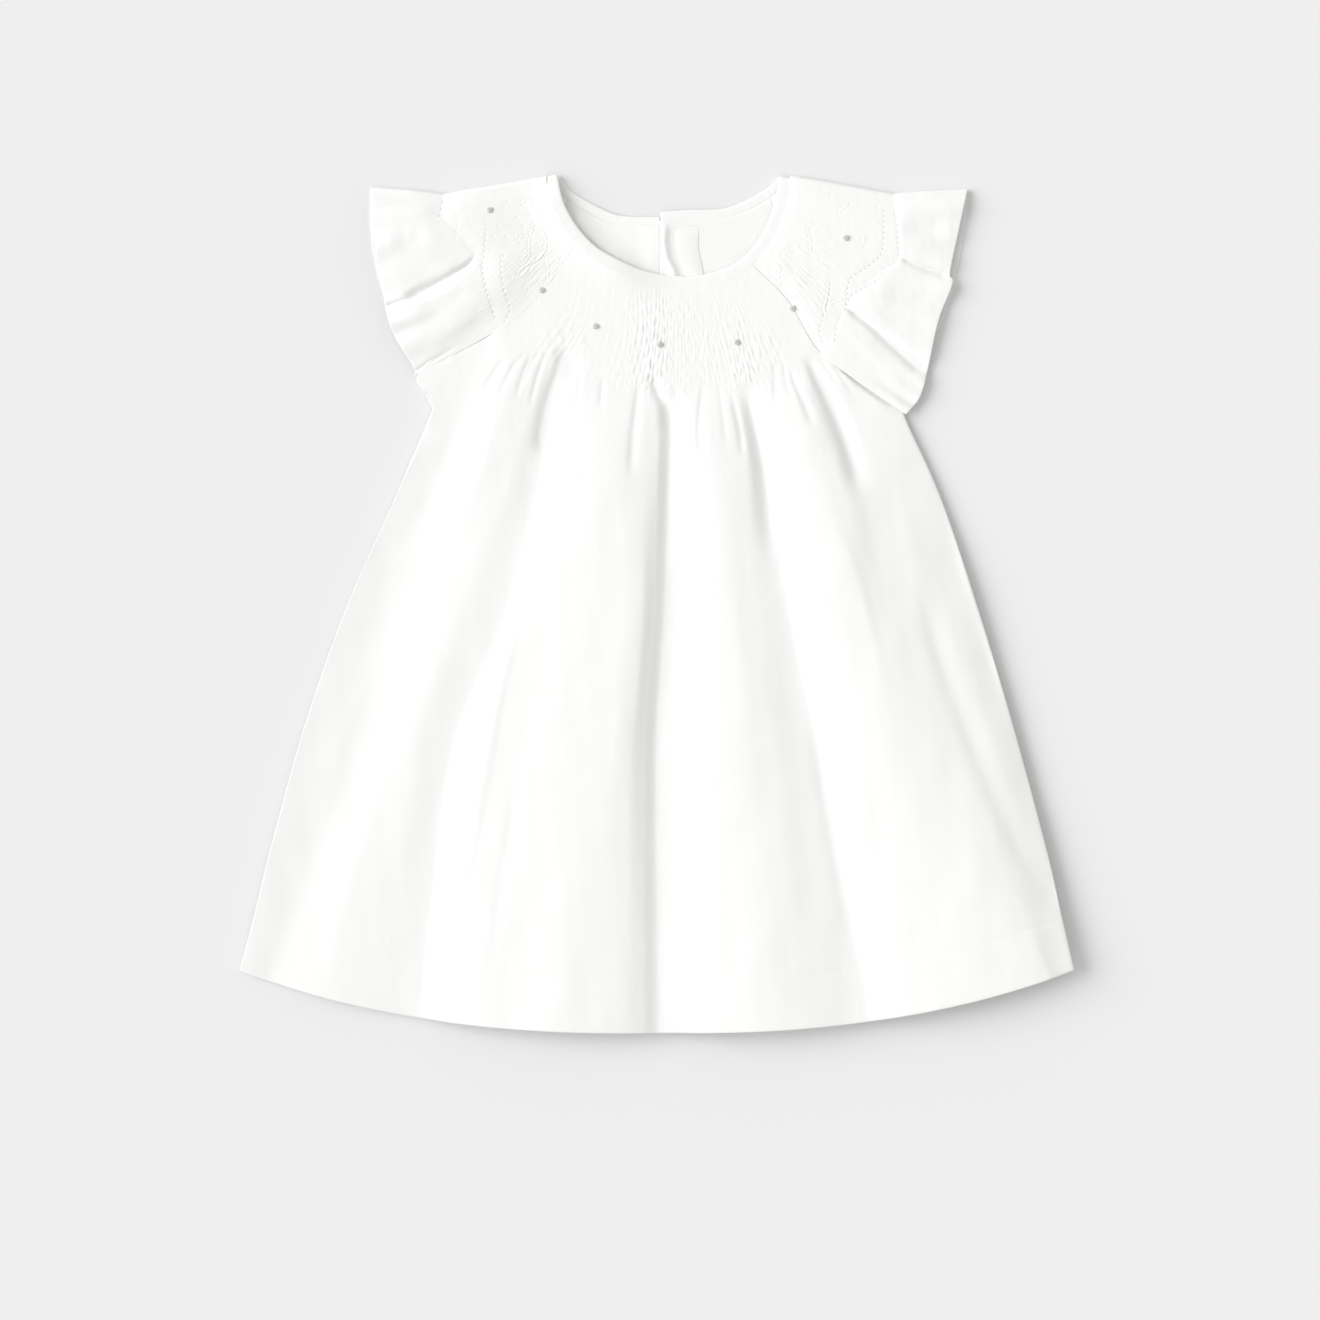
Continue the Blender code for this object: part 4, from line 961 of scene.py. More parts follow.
def head_smocking(sleeve, middle, across, outs):
    """The lift of the pleats gathered into a sleeve's head, with the knots that hold them."""
    edges = pleat_edges(HEAD_SMOCKING, SLEEVE_PLEATS, 41 + sleeve.left)
    count = len(edges) - 1
    chance = np.random.default_rng(51 + sleeve.left)
    places = np.tile(across, (len(outs), 1))
    out = outs[:, None]
    part = np.maximum(out - 1.0, 0.0)
    order = np.interp(places, edges, np.arange(count + 1))
    beats = out * HEAD_BEATS
    zigzag = HEAD_ZIGZAG * np.sin(math.pi * order) * np.cos(math.pi * beats)
    wander = HEAD_WANDER * np.sin(order * 0.7 + out * 3.0)
    index, full = pleat_shape(places + (zigzag + wander) * (edges[-1] - edges[0]) / count, edges)
    depth = blend(table_column(HEAD_SMOCKING, 2, places), table_column(HEAD_SMOCKING, 3, places),
                  soft(np.minimum(out, 1.0)))
    own = chance.uniform(0.6, 1.35, count)[index]
    phase = chance.uniform(0.0, math.tau, count)[index]
    run = table_column(HEAD_SMOCKING, 4, places) * chance.uniform(0.4, 1.4, count)[index]
    fading = np.exp(-(part / run) ** 1.4)
    inside = soft((places - 0.02) / 0.03) * soft((0.99 - places) / 0.05)
    broken = np.maximum(0.6 + 0.65 * np.sin(phase + out * 24.0), 0.0)
    spread = np.maximum(patchy(middle), 0.30 * soft(part * 12.0))
    lift = SLEEVE_PLEAT_DEPTH * depth * own * broken * fading * spread * (full - PLEAT_LEVEL)
    lift *= inside * soft(out / 0.12)

    knots = chance.uniform(0.0, 1.0, (count + 1, HEAD_BEATS + 2))
    row = np.clip(np.round(beats + 0.5).astype(int), 0, HEAD_BEATS + 1)
    near = np.clip(np.round(order).astype(int), 0, count)
    held = np.where(knots[near, row] > KNOT_CHANCE, knots[near, row], 0.0) * ((near + row) % 2 == 0)
    spans = np.linalg.norm(middle[:, -1, :2] - middle[:, 0, :2], axis=-1)[:, None] / count
    off_x = (order - near) * spans
    off_y = (beats - row + 0.5) * SLEEVE_RUN / HEAD_BEATS
    knot = np.exp(-(off_x ** 2 + off_y ** 2) / KNOT_WIDTH ** 2)
    return lift - KNOT_DEPTH * held * knot * (part <= 0.0) * inside


def needlework(sleeve, middle):
    """The lift of a sleeve's rows of stitches, which pull it in, and of its cables, which stand out."""
    lift = np.zeros(middle.shape[:-1])
    for _, share, line in sleeve.rows:
        side, along, length = line_place(middle, traced(line, 5 * len(line)))
        dotted = 0.6 + 0.5 * np.sin(along * length * math.tau / STITCH_PITCH)
        ends = soft(along * length / 2.0) * soft((1.0 - along) * length / 2.0)
        lift -= ROW_DEPTH * share * dotted * ends * np.exp(-(side / ROW_WIDTH) ** 2)
    for line in sleeve.cables:
        side, along, length = line_place(middle, line)
        ends = soft(along * length / 1.5) * soft((1.0 - along) * length / 1.5)
        beside = np.exp(-((np.abs(side) - 0.75) / CABLE_WIDTH) ** 2)
        lift += CABLE_RISE * ends * (np.exp(-(side / CABLE_WIDTH) ** 2) - 0.7 * beside)
        for x, y in line:
            lift -= KNOT_DEPTH * mound(middle, x, y, KNOT_WIDTH, KNOT_WIDTH)
    return lift


def back_neck_line(left, along, distance):
    """Plan points of a back half's neck, moved from the opening down into the cloth."""
    if left:
        return beside_curve(NECK_BACK_LEFT, along, distance)
    return beside_curve(NECK_BACK_RIGHT, along, -distance)


def back_raglan(left):
    """The raglan and armhole edge of a back half, from its corner at the neck."""
    corner = back_neck_line(left, [NECK_CORNER], BACK_SEAM)
    return np.concatenate([corner, BACK_RAGLAN_LEFT if left else BACK_RAGLAN_RIGHT])


def under_middle(sleeve, fold, outs):
    """The middle of a sleeve's under layer, from the shoulder's fold to the back raglan seam."""
    parts = np.linspace(0.0, 1.0, UNDER_COLUMNS + 1)
    points = back_raglan(sleeve.left)
    at = np.minimum(2.0 * outs, 3.9)
    start = np.minimum(at.astype(int), len(points) - 2)
    here, there = points[start], points[start + 1]
    run = unit(there - here)
    away = np.stack([run[:, 1], -run[:, 0]], axis=-1) * UNDER_GAP * -sleeve.turn
    edge = here + (there - here) * (at - start)[:, None] + away
    swell = UNDER_BULGE * 4.0 * parts * (1.0 - parts) * np.maximum(outs - 1.0, 0.0)[:, None]
    x = blend(fold[:, None, 0], edge[:, None, 0], parts) + swell * sleeve.turn
    y = blend(fold[:, None, 1], edge[:, None, 1], parts)
    return np.stack([x, y, np.full_like(x, 0.5 * WALL)], axis=-1)


def make_sleeve(sleeve, finish):
    """A sleeve as one closed sheet: its upper layer, the bend at the shoulder and its under layer."""
    head = np.concatenate([edge_steps(SLEEVE_RUN, (0.0, 0.35, 0.9)), np.linspace(0.05, 1.0, HEAD_ROWS)])
    stitch = 1.0 + np.array([0.008, 0.016, 0.026, 0.038])
    flounce = np.linspace(1.05, 1.95, FLOUNCE_ROWS)
    outs = np.unique(np.concatenate([head, stitch, flounce, 2.0 - edge_steps(SLEEVE_RUN)[::-1]]))
    side = edge_steps(SLEEVE_SPAN)
    across = np.unique(np.concatenate([side, np.linspace(side[-1] * 1.5, 1.0, SLEEVE_COLUMNS)]))

    middle = sleeve_middle(sleeve, across, outs)
    layer = sleeve_layer_lift(sleeve, middle, across, outs)
    face = head_smocking(sleeve, middle, across, outs) + needlework(sleeve, middle)
    face += CLOTH_GRAIN[0] * ripple(middle, 61 + sleeve.left, CLOTH_GRAIN[1])
    floor = SLEEVE_FLOOR - FLOOR_FALL * across[None, :]
    middle[..., 2] = np.maximum(middle[..., 2] + layer + neck_swell(middle), floor)
    normal = grid_normals(middle)
    full = blend(sleeve.least, 1.0, edge_drop(across[None, :] * SLEEVE_SPAN, SIDE_ROUND))
    from_edge = (2.0 - outs[:, None]) * SLEEVE_RUN
    full = full * blend(FLOUNCE_FULL, 1.0, edge_drop(from_edge, FLOUNCE_ROUND))
    half = 0.5 * WALL * blend(1.0, SLEEVE_EDGE, soft((outs - 1.0) * 2.0))
    tops = [middle + normal * ((half[:, None] + face) * full)[..., None]]
    unders = [middle - normal * half[:, None, None]]

    fold = middle[:, -1]
    radius = 0.5 * (fold[:, 2] - half)
    centre = np.stack([fold[:, 0], fold[:, 1], half + radius], axis=-1)
    for bend in range(1, BEND_COLUMNS + 1):
        turn = math.pi * bend / (BEND_COLUMNS + 1)
        way = np.array([0.0, math.sin(turn), math.cos(turn)])
        outward = half + face[:, -1] * math.cos(0.5 * turn)
        tops.append((centre + way * (radius + outward)[:, None])[:, None])
        unders.append((centre + way * (radius - half)[:, None])[:, None])

    lower = under_middle(sleeve, fold, outs)
    lower[..., 2] = half[:, None]
    thick = np.stack([half * 0.0, half * 0.0, half], axis=-1)[:, None]
    top = np.concatenate(tops + [lower - thick], axis=1)
    under = np.concatenate(unders + [lower + thick], axis=1)
    columns = top.shape[1]
    uv = np.stack(np.broadcast_arrays(np.linspace(0.0, SLEEVE_GIRTH, columns)[None, :],
                                      outs[:, None] * SLEEVE_RUN), axis=-1)
    rows, picks = every_few(len(outs), 3), every_few(columns, 3)
    return shell(sleeve.name, top, [under[row][picks] for row in rows], finish, uv,
                 [uv[row][picks] for row in rows])


# ---------------------------------------------------------------------------------------------------------
# The back halves, the neck's bindings and the facing of the opening.

BACK_FINE_COLUMNS = 64
BACK_EDGE_SHARES = (0.0006, 0.004, 0.012, 0.988, 0.996, 0.9994)     # close columns at both its sides
NECK_ROWS, BACK_ROWS = 26, 84
FACING_X = (9.6, 21.0)
FACING_Y = (189.5, 110.0)
FACING_BOW = 5.5         # mm, how far the facing bows away from the edge
LEFT_FACING = 11.5       # mm, width of the strip inside the left half's edge
BACK_RISE = 2.3          # mm, how far the left half curls up under the neck's left side
STRIP_RISE = 0.55        # mm, how far that strip thickens the edge
LAP_RISE, LAP_SWELL = 1.25, 0.35      # mm, the right half's lapped edge, and the cloth beside it
BACK_GRAIN = ((0.05, 71, 7.0), (0.12, 73, 28.0))     # mm high, seed, and mm long
LAP_RIDGE = ((4.2, 194.0), (4.2, 188.2), (3.8, 180.8), (5.2, 173.2), (8.8, 166.2), (9.5, 110.0))

#  across a binding from its edge to its seam, and how full it is there
BINDING_SHARES = (0.0, 0.015, 0.06, 0.14, 0.26, 0.4, 0.54, 0.66, 0.76, 0.83, 0.87, 0.9, 0.94, 0.98, 1.0)
BINDING_FULL = (0.3, 0.44, 0.53, 0.59, 0.62, 0.63, 0.635, 0.64, 0.64, 0.64, 0.635, 0.62, 0.6, 0.575, 0.55)
FACING_SHARES = (0.0, 0.004, 0.02, 0.06, 0.14, 0.3, 0.5, 0.7, 0.86, 0.94, 0.98, 0.996, 1.0)


def back_swell(plan):
    """The lift of the back towards its opening."""
    left = 0.6 * soft((plan[..., 0] + 44.0) / 44.0)
    right = 1.3 * np.clip((62.0 - plan[..., 0]) / 60.0, 0.0, 1.0)
    return np.where(plan[..., 0] < CENTRE_BACK, left, right) * soft((plan[..., 1] - 120.0) / 36.0)


def back_lines(left, centre, shares):
    """Plan lines across a back half from neck to hem, and how high each starts at the side seam."""
    raglan = back_raglan(left)
    top_y = back_neck_line(left, [1.0], BACK_SEAM)[0, 1]
    middle_y = gathered_plan(np.array([[0.5]]), np.array([float(UNDERARM)]))[0, 0, 1]
    lines = [back_neck_line(left, blend(NECK_CORNER, 1.0, shares), BACK_SEAM)]
    for step in range(1, len(raglan)):
        foot = blend(top_y, middle_y, step / len(raglan))
        x, y = raglan[step]
        lines.append(np.stack([blend(x, centre, shares), blend(y, foot, soft(shares))], axis=-1))
    seam = [0.0] * len(lines)
    folds = fold_map()
    places = 0.5 * shares if left else 1.0 - 0.5 * shares
    for down in range(UNDERARM, len(FRONT_ROWS)):
        line = gathered_plan(places[None, :], np.array([float(down)]))[0]
        line[:, 0] = blend(line[:, 0], centre, soft((shares - 0.5) / 0.5))
        lines.append(line)
        seam.append(max(sampled(folds, line[:1])[0] - 0.15 - WALL, 0.0))
    lines = np.array(lines)
    lines[:, -1, 0] = centre
    return lines, seam


def left_curl(plan):
    """The left back half's curl up beside the neck's left side."""
    away = from_left_neck(plan)
    curl = np.exp(-(away / np.where(away < 0.0, 6.0, 9.0)) ** 2) * soft((4.0 - plan[..., 0]) / 26.0)
    return BACK_RISE * curl * soft((202.0 - plan[..., 1]) / 12.0) * soft((plan[..., 1] - 150.0) / 12.0)


def right_lap(plan, centre):
    """The ridge of the right back half's edge, where it laps over the left one."""
    side = plan[..., 0] - np.interp(plan[..., 1], *np.array(LAP_RIDGE)[::-1, ::-1].T)
    lap = np.exp(-(side / np.where(side < 0.0, 2.4, 1.7)) ** 2) * soft((191.5 - plan[..., 1]) / 6.0)
    return LAP_SWELL * np.exp(-((plan[..., 0] - centre) / 9.0) ** 2) + LAP_RISE * lap


def make_back(left, finish):
    """One half of the back, seen through the neck and from below."""
    centre = CENTRE_BACK + (-0.03 if left else 0.03)
    shares = np.unique(np.concatenate([np.linspace(0.0, 1.0, BACK_FINE_COLUMNS + 1), BACK_EDGE_SHARES]))
    lines, seam = back_lines(left, centre, shares)
    last = len(lines) - 1.0
    at = np.concatenate([np.linspace(0.0, 1.0, NECK_ROWS), np.linspace(1.0, last, BACK_ROWS)[1:]])
    start = np.minimum(at.astype(int), len(lines) - 2)
    part = (at - start)[:, None, None]
    plan = lines[start] * (1.0 - part) + lines[start + 1] * part

    turned = np.interp(at, np.arange(len(seam)), seam)[:, None] * (1.0 - soft(shares * 8.0))[None, :]
    low = turned + back_swell(plan)
    top = low + WALL
    for height, seed, length in BACK_GRAIN:
        top = top + height * ripple(plan, seed + left, length)
    opening = soft((plan[..., 1] - FACING_Y[1]) / 8.0)
    if left:
        curl = left_curl(plan)
        top, low = top + curl, low + curl
        top = top + STRIP_RISE * soft((plan[..., 0] - (centre - LEFT_FACING)) / 9.0) * opening
    else:
        top = top + opening * right_lap(plan, centre)
    from_centre = (1.0 - shares)[None, :] * BACK_SPAN
    from_hem = (last - at)[:, None] * HEM_DEPTH
    full = blend(0.7, 1.0, edge_drop(from_centre + 0.05, 0.35))
    full = full * blend(0.45, 1.0, edge_drop(from_hem, 1.0))
    top = low + (top - low) * full
    top -= 0.2 * (1.0 - soft(at * 25.0))[:, None]
    outer, inner = raised(plan, top), raised(plan, low)
    if not left:
        outer, inner = outer[:, ::-1], inner[:, ::-1]
    name = "back_left_cloth" if left else "back_right_cloth"
    return shell(name, outer, [inner[row][::2] for row in every_few(len(at), 2)], finish)


def make_binding(name, point, size, steps, low, dips, reach, finish, lift):
    """A strip folded over a neck edge, level with the cloth at its seam, with soft pulls along it.

    Its ends dip by dips and run on by reach, so that they meet the pieces beside it.
    """
    width, thickness = size
    along = np.linspace(0.0, 1.0, steps + 1)
    shares = np.array(BINDING_SHARES)
    plan = np.stack([point(along, share * width) for share in shares], axis=1)
    starts, ends = 1.0 - soft(along / 0.08), 1.0 - soft((1.0 - along) / 0.08)
    plan = plan + unit(plan[0] - plan[3]) * (reach[0] * starts)[:, None, None]
    plan = plan + unit(plan[-1] - plan[-4]) * (reach[1] * ends)[:, None, None]
    pulls = 0.035 * np.sin(along * steps * 0.42 + 1.1 * np.sin(along * 23.0))
    pulls += 0.02 * np.sin(along * steps * 0.9)
    floor = low - dips[0] * (1.0 - soft(along / 0.035)) - dips[1] * (1.0 - soft((1.0 - along) / 0.035))
    floor = (floor + lift(plan[:, 6]))[:, None]
    full = edge_drop(np.minimum(along, 1.0 - along) * 120.0, 1.0)[:, None]
    top = floor + thickness * np.array(BINDING_FULL) * blend(0.4, 1.0, full)
    top = top + pulls[:, None] * np.sin(math.pi * shares)[None, :] * full
    outer, inner = raised(plan, top), raised(plan, np.broadcast_to(floor, top.shape))
    lengths = np.cumsum(np.concatenate([[0.0], np.linalg.norm(np.diff(plan[:, 5], axis=0), axis=1)]))
    uv = np.stack(np.broadcast_arrays(lengths[:, None], shares[None, :] * width), axis=-1)
    return shell(name, outer, inner[:, ::2], finish, uv, uv[:, ::2])


def make_facing(finish):
    """The strip inside the right half's opening, bowed away from the edge."""
    left, right = FACING_X
    shares = np.array(FACING_SHARES)[None, :]
    y = blend(*FACING_Y, np.linspace(0.0, 1.0, 60))[:, None] + np.zeros_like(shares)
    bow = FACING_BOW * soft((FACING_Y[0] - y - 9.0) / 20.0)
    x = blend(left, right, shares) + bow * (1.0 - 0.45 * shares)
    round_ = edge_drop(np.minimum(shares, (1.0 - shares) * 0.5) * (right - left), 0.9)
    ends = soft((FACING_Y[0] - y) / 7.0) * edge_drop((y - FACING_Y[1]), 1.0)
    swell = 0.30 + 0.5 * shares - 0.5 * soft((shares - 0.5) / 0.5)
    plan = np.stack([x, y], axis=-1)
    low = WALL - 0.1 + back_swell(plan)
    top = low + 0.1 + (swell * blend(0.15, 1.0, round_) + 0.12) * ends
    return shell("placket_facing_cloth", raised(plan, top), raised(plan, low)[:, ::2], finish)


# ---------------------------------------------------------------------------------------------------------
# Materials.

def add_node(tree, kind, inputs=None, **settings):
    """A node of a node tree, with its settings, and with links or values at its inputs."""
    node = tree.nodes.new(kind)
    for name, value in settings.items():
        setattr(node, name, value)
    for name, value in (inputs or {}).items():
        if isinstance(value, bpy.types.NodeSocket):
            tree.links.new(value, node.inputs[name])
        else:
            node.inputs[name].default_value = value
    return node


def math_node(tree, operation, first, second=0.5):
    """What a Math node puts out for links or numbers."""
    return add_node(tree, "ShaderNodeMath", {0: first, 1: second}, operation=operation).outputs[0]


def add_sockets(tree, inputs, outputs):
    """Named inputs, each with its type and default, and outputs on a node group."""
    for name, kind, default in inputs:
        socket = tree.interface.new_socket(name=name, in_out="INPUT", socket_type=kind)
        if default is not None:
            socket.default_value = default
    for name, kind in outputs:
        tree.interface.new_socket(name=name, in_out="OUTPUT", socket_type=kind)
    return tree.nodes.new("NodeGroupInput").outputs, tree.nodes.new("NodeGroupOutput").inputs


def stretched_noise(tree, vector, scale, detail, seed):
    """Noise drawn out along one way, for threads that are thicker here and thinner there."""
    mapping = add_node(tree, "ShaderNodeMapping",
                       {"Vector": vector, "Scale": scale, "Location": (seed, seed * 0.37, 0.0)})
    return add_node(tree, "ShaderNodeTexNoise", {"Vector": mapping.outputs["Vector"], "Scale": 1.0,
                                                 "Detail": detail, "Roughness": 0.6}).outputs["Fac"]


WEFT, WARP = (75.0, 900.0, 1.0), (1100.0, 90.0, 1.0)       # noise for each metre along and across a thread
THICK_SPOTS, CLOUD = (26.0, 420.0, 1.0), (9.0, 12.0, 1.0)
SPOTS_FROM = 0.64        # the share of the noise over which a thread has a thick spot


def weave_group():
    """A plain weave with slubs: its height and its tint, over a vector in metres."""
    tree = bpy.data.node_groups.new("Slubbed plain weave", "ShaderNodeTree")
    start, end = add_sockets(
        tree,
        (("Vector", "NodeSocketVector", None), ("Thread spacing", "NodeSocketFloat", 0.00045),
         ("Weave", "NodeSocketFloat", 0.3), ("Slubs", "NodeSocketFloat", 0.6)),
        (("Height", "NodeSocketFloat"), ("Tint", "NodeSocketFloat")))

    def of(operation, first, second=0.5):
        """What an operation makes of links or numbers."""
        return math_node(tree, operation, first, second)

    vector = start["Vector"]
    split = add_node(tree, "ShaderNodeSeparateXYZ", {0: vector}).outputs
    pace = of("DIVIDE", math.pi, start["Thread spacing"])
    across, down = [of("SINE", of("MULTIPLY", split[way], pace)) for way in ("X", "Y")]
    weave = of("MULTIPLY", across, down)
    weft = stretched_noise(tree, vector, WEFT, 3.0, 0.0)
    warp = stretched_noise(tree, vector, WARP, 2.0, 5.0)
    thick = stretched_noise(tree, vector, THICK_SPOTS, 1.0, 11.0)
    cloud = stretched_noise(tree, vector, CLOUD, 2.0, 3.0)
    knots = of("MULTIPLY", of("MAXIMUM", of("SUBTRACT", thick, SPOTS_FROM), 0.0), 2.0)
    slubs = of("ADD", of("ADD", of("MULTIPLY", weft, 0.62), of("MULTIPLY", warp, 0.38)), knots)
    height = of("ADD", of("MULTIPLY", weave, start["Weave"]), of("MULTIPLY", slubs, start["Slubs"]))
    tint = of("ADD", of("MULTIPLY", slubs, 0.5), of("MULTIPLY", cloud, 0.5))
    tree.links.new(height, end["Height"])
    tree.links.new(tint, end["Tint"])
    return tree


def plain_material(name, colour, **values):
    """A material of one colour, with values for its shader's inputs, and that shader."""
    finish = bpy.data.materials.new(name)
    finish.use_nodes = True
    shader = finish.node_tree.nodes["Principled BSDF"]
    shader.inputs["Base Color"].default_value = (*colour, 1.0)
    for key, value in values.items():
        shader.inputs[key.replace("_", " ")].default_value = value
    return finish, shader


def cloth_material(name, cloth, turn, relief):
    """A cloth finish: a soft matt white with the weave's height and tint on its UV map."""
    finish, shader = plain_material(name, cloth.colour, Roughness=cloth.roughness, Specular_IOR_Level=0.25,
                                    Sheen_Weight=cloth.sheen, Sheen_Roughness=0.6)
    tree = finish.node_tree
    coords = add_node(tree, "ShaderNodeUVMap", uv_map="UVMap")
    mapping = add_node(tree, "ShaderNodeMapping",
                       {"Vector": coords.outputs["UV"], "Rotation": (0.0, 0.0, turn)})
    group = bpy.data.node_groups.get("Slubbed plain weave") or weave_group()
    weave = add_node(tree, "ShaderNodeGroup",
                     {"Vector": mapping.outputs["Vector"], "Thread spacing": cloth.thread_spacing,
                      "Weave": cloth.weave, "Slubs": cloth.slubs}, node_tree=group)
    ramp = add_node(tree, "ShaderNodeValToRGB", {"Fac": weave.outputs["Tint"]})
    colours = (cloth.slub_colour, cloth.colour)
    for stop, place, colour in zip(ramp.color_ramp.elements, (0.25, 0.75), colours):
        stop.position = place
        stop.color = (*colour, 1.0)
    bump = add_node(tree, "ShaderNodeBump", {"Height": weave.outputs["Height"], "Strength": 0.6,
                                             "Distance": relief})
    tree.links.new(ramp.outputs["Color"], shader.inputs["Base Color"])
    tree.links.new(bump.outputs["Normal"], shader.inputs["Normal"])
    return finish


def cotton(cloth):
    """The dress's cotton, made once."""
    return bpy.data.materials.get("Washed cotton") or cloth_material("Washed cotton", cloth, 0.0, 0.00012)


def binding_cotton(cloth):
    """The binding's cotton, cut on the bias, made once."""
    return (bpy.data.materials.get("Bias binding")
            or cloth_material("Bias binding", cloth, math.radians(45.0), 0.00008))


def thread_material(name, colour, roughness):
    """A plain thread."""
    return plain_material(name, colour, Roughness=roughness, Sheen_Weight=0.1)[0]


# ---------------------------------------------------------------------------------------------------------
# Stitches and rosettes.

ROSETTES = (             # plan places, in mm, each with its turn
    (-83.2, 196.8, 0.4), (-57.2, 156.8, 2.0), (-30.2, 138.8, 3.5), (1.8, 129.8, 5.1),
    (40.2, 130.8, 1.1), (68.2, 147.8, 4.2), (94.8, 182.8, 2.8),
)
STITCH_LIFT = 0.12       # how far a stitch's middle stands over the cloth, as a share of its thickness
SIGHT_HEIGHT = 0.08      # m, from where places are dropped on the cloth
ROSETTE_TURNS = 2.25
ROSETTE_SINK = 0.15      # mm, how far a rosette sits in the cloth
ROSETTE_STEPS, THREAD_SIDES = 44, 7
#  along a rosette's thread: how far out it lies, and from there how high
ROSETTE_SPREAD = ((0.0, 0.12, 0.5, 0.85, 1.0), (0.10, 0.28, 0.66, 1.0, 0.96))
ROSETTE_RISE = ((0.0, 0.15, 0.4, 0.8, 1.0), (1.9, 1.9, 1.5, 0.9, 0.2))


def surface_tree(pieces):
    """A search tree over some pieces' meshes."""
    points, faces = [], []
    for piece in pieces:
        start = len(points)
        points += [tuple(vertex.co) for vertex in piece.data.vertices]
        faces += [tuple(start + number for number in face.vertices) for face in piece.data.polygons]
    return BVHTree.FromPolygons(points, faces)


def drop_on(tree, x, y):
    """The point of a surface straight below a plan place, in metres, and its normal."""
    place, normal, _, _ = tree.ray_cast(Vector((x * MM, y * MM, SIGHT_HEIGHT)), Vector((0.0, 0.0, -1.0)))
    return place, normal


def stitch_nodes():
    """Geometry Nodes that put a small rounded stitch on each point, turned along its seam."""
    tree = bpy.data.node_groups.new("Running stitches", "GeometryNodeTree")
    start, end = add_sockets(
        tree,
        (("Geometry", "NodeSocketGeometry", None), ("Length", "NodeSocketFloat", 0.0018),
         ("Thickness", "NodeSocketFloat", 0.00035), ("Thread", "NodeSocketMaterial", None)),
        (("Geometry", "NodeSocketGeometry"),))
    ball = add_node(tree, "GeometryNodeMeshUVSphere", {"Segments": 8, "Rings": 5, "Radius": 0.5})
    size = add_node(tree, "ShaderNodeCombineXYZ",
                    {"X": start["Length"], "Y": start["Thickness"], "Z": start["Thickness"]})
    shape = add_node(tree, "GeometryNodeTransform",
                     {"Geometry": ball.outputs["Mesh"], "Scale": size.outputs["Vector"]})
    turn = add_node(tree, "GeometryNodeInputNamedAttribute", {"Name": "turn"}, data_type="FLOAT_VECTOR")
    jitter = add_node(tree, "FunctionNodeRandomValue",
                      {"Min": (0.0, 0.0, -0.10), "Max": (0.0, 0.0, 0.10), "Seed": 3},
                      data_type="FLOAT_VECTOR")
    both = add_node(tree, "ShaderNodeVectorMath",
                    {0: turn.outputs["Attribute"], 1: jitter.outputs["Value"]}, operation="ADD")
    lay = add_node(tree, "GeometryNodeInstanceOnPoints",
                   {"Points": start["Geometry"], "Instance": shape.outputs["Geometry"],
                    "Rotation": both.outputs["Vector"]})
    real = add_node(tree, "GeometryNodeRealizeInstances", {"Geometry": lay.outputs["Instances"]})
    smooth = add_node(tree, "GeometryNodeSetShadeSmooth", {"Geometry": real.outputs["Geometry"]})
    paint = add_node(tree, "GeometryNodeSetMaterial",
                     {"Geometry": smooth.outputs["Geometry"], "Material": start["Thread"]})
    tree.links.new(paint.outputs["Geometry"], end["Geometry"])
    return tree


def spaced(line, spacing):
    """Places evenly along a plan line, with the way it runs at each."""
    lengths = np.concatenate([[0.0], np.cumsum(np.linalg.norm(np.diff(line, axis=0), axis=1))])
    count = max(int(lengths[-1] / spacing), 2)
    at = (np.arange(count) + 0.5) * lengths[-1] / count

    def place(offset):
        """The line's x and y values, a little before or past each place."""
        return [np.interp(at + offset, lengths, line[:, axis]) for axis in (0, 1)]

    x, y = place(0.0)
    near, far = place(-0.2), place(0.2)
    return list(zip(x, y, np.arctan2(far[1] - near[1], far[0] - near[0])))


def make_stitches(name, lines, tree, stitch, thread):
    """Rows of stitches laid on a surface along plan lines, as one mesh."""
    places, turns = [], []
    for line in lines:
        for x, y, way in spaced(line, stitch.spacing / MM):
            place, normal = drop_on(tree, x, y)
            if place is None:
                continue
            places.append(tuple(place + Vector((0.0, 0.0, stitch.thickness * STITCH_LIFT))))
            run = Vector((math.cos(way), math.sin(way), 0.0))
            tilt = math.asin(max(-0.9, min(0.9, -run.dot(normal))))
            turns.append((0.0, -tilt, way))
    points = bpy.data.meshes.new(name + "_points")
    points.from_pydata(places, [], [])
    layer = points.attributes.new("turn", "FLOAT_VECTOR", "POINT")
    layer.data.foreach_set("vector", np.array(turns, dtype=np.float32).ravel())
    piece = linked(bpy.data.objects.new(name, points))
    group = bpy.data.node_groups.get("Running stitches") or stitch_nodes()
    nodes = piece.modifiers.new("Stitches", "NODES")
    nodes.node_group = group
    names = {item.name: item.identifier for item in group.interface.items_tree if item.in_out == "INPUT"}
    nodes[names["Length"]] = stitch.length
    nodes[names["Thickness"]] = stitch.thickness
    nodes[names["Thread"]] = thread
    bpy.context.view_layer.update()
    made = bpy.data.meshes.new_from_object(piece.evaluated_get(bpy.context.evaluated_depsgraph_get()))
    piece.modifiers.clear()
    piece.data = made
    made.name = name
    if not made.materials:
        made.materials.append(thread)
    return piece


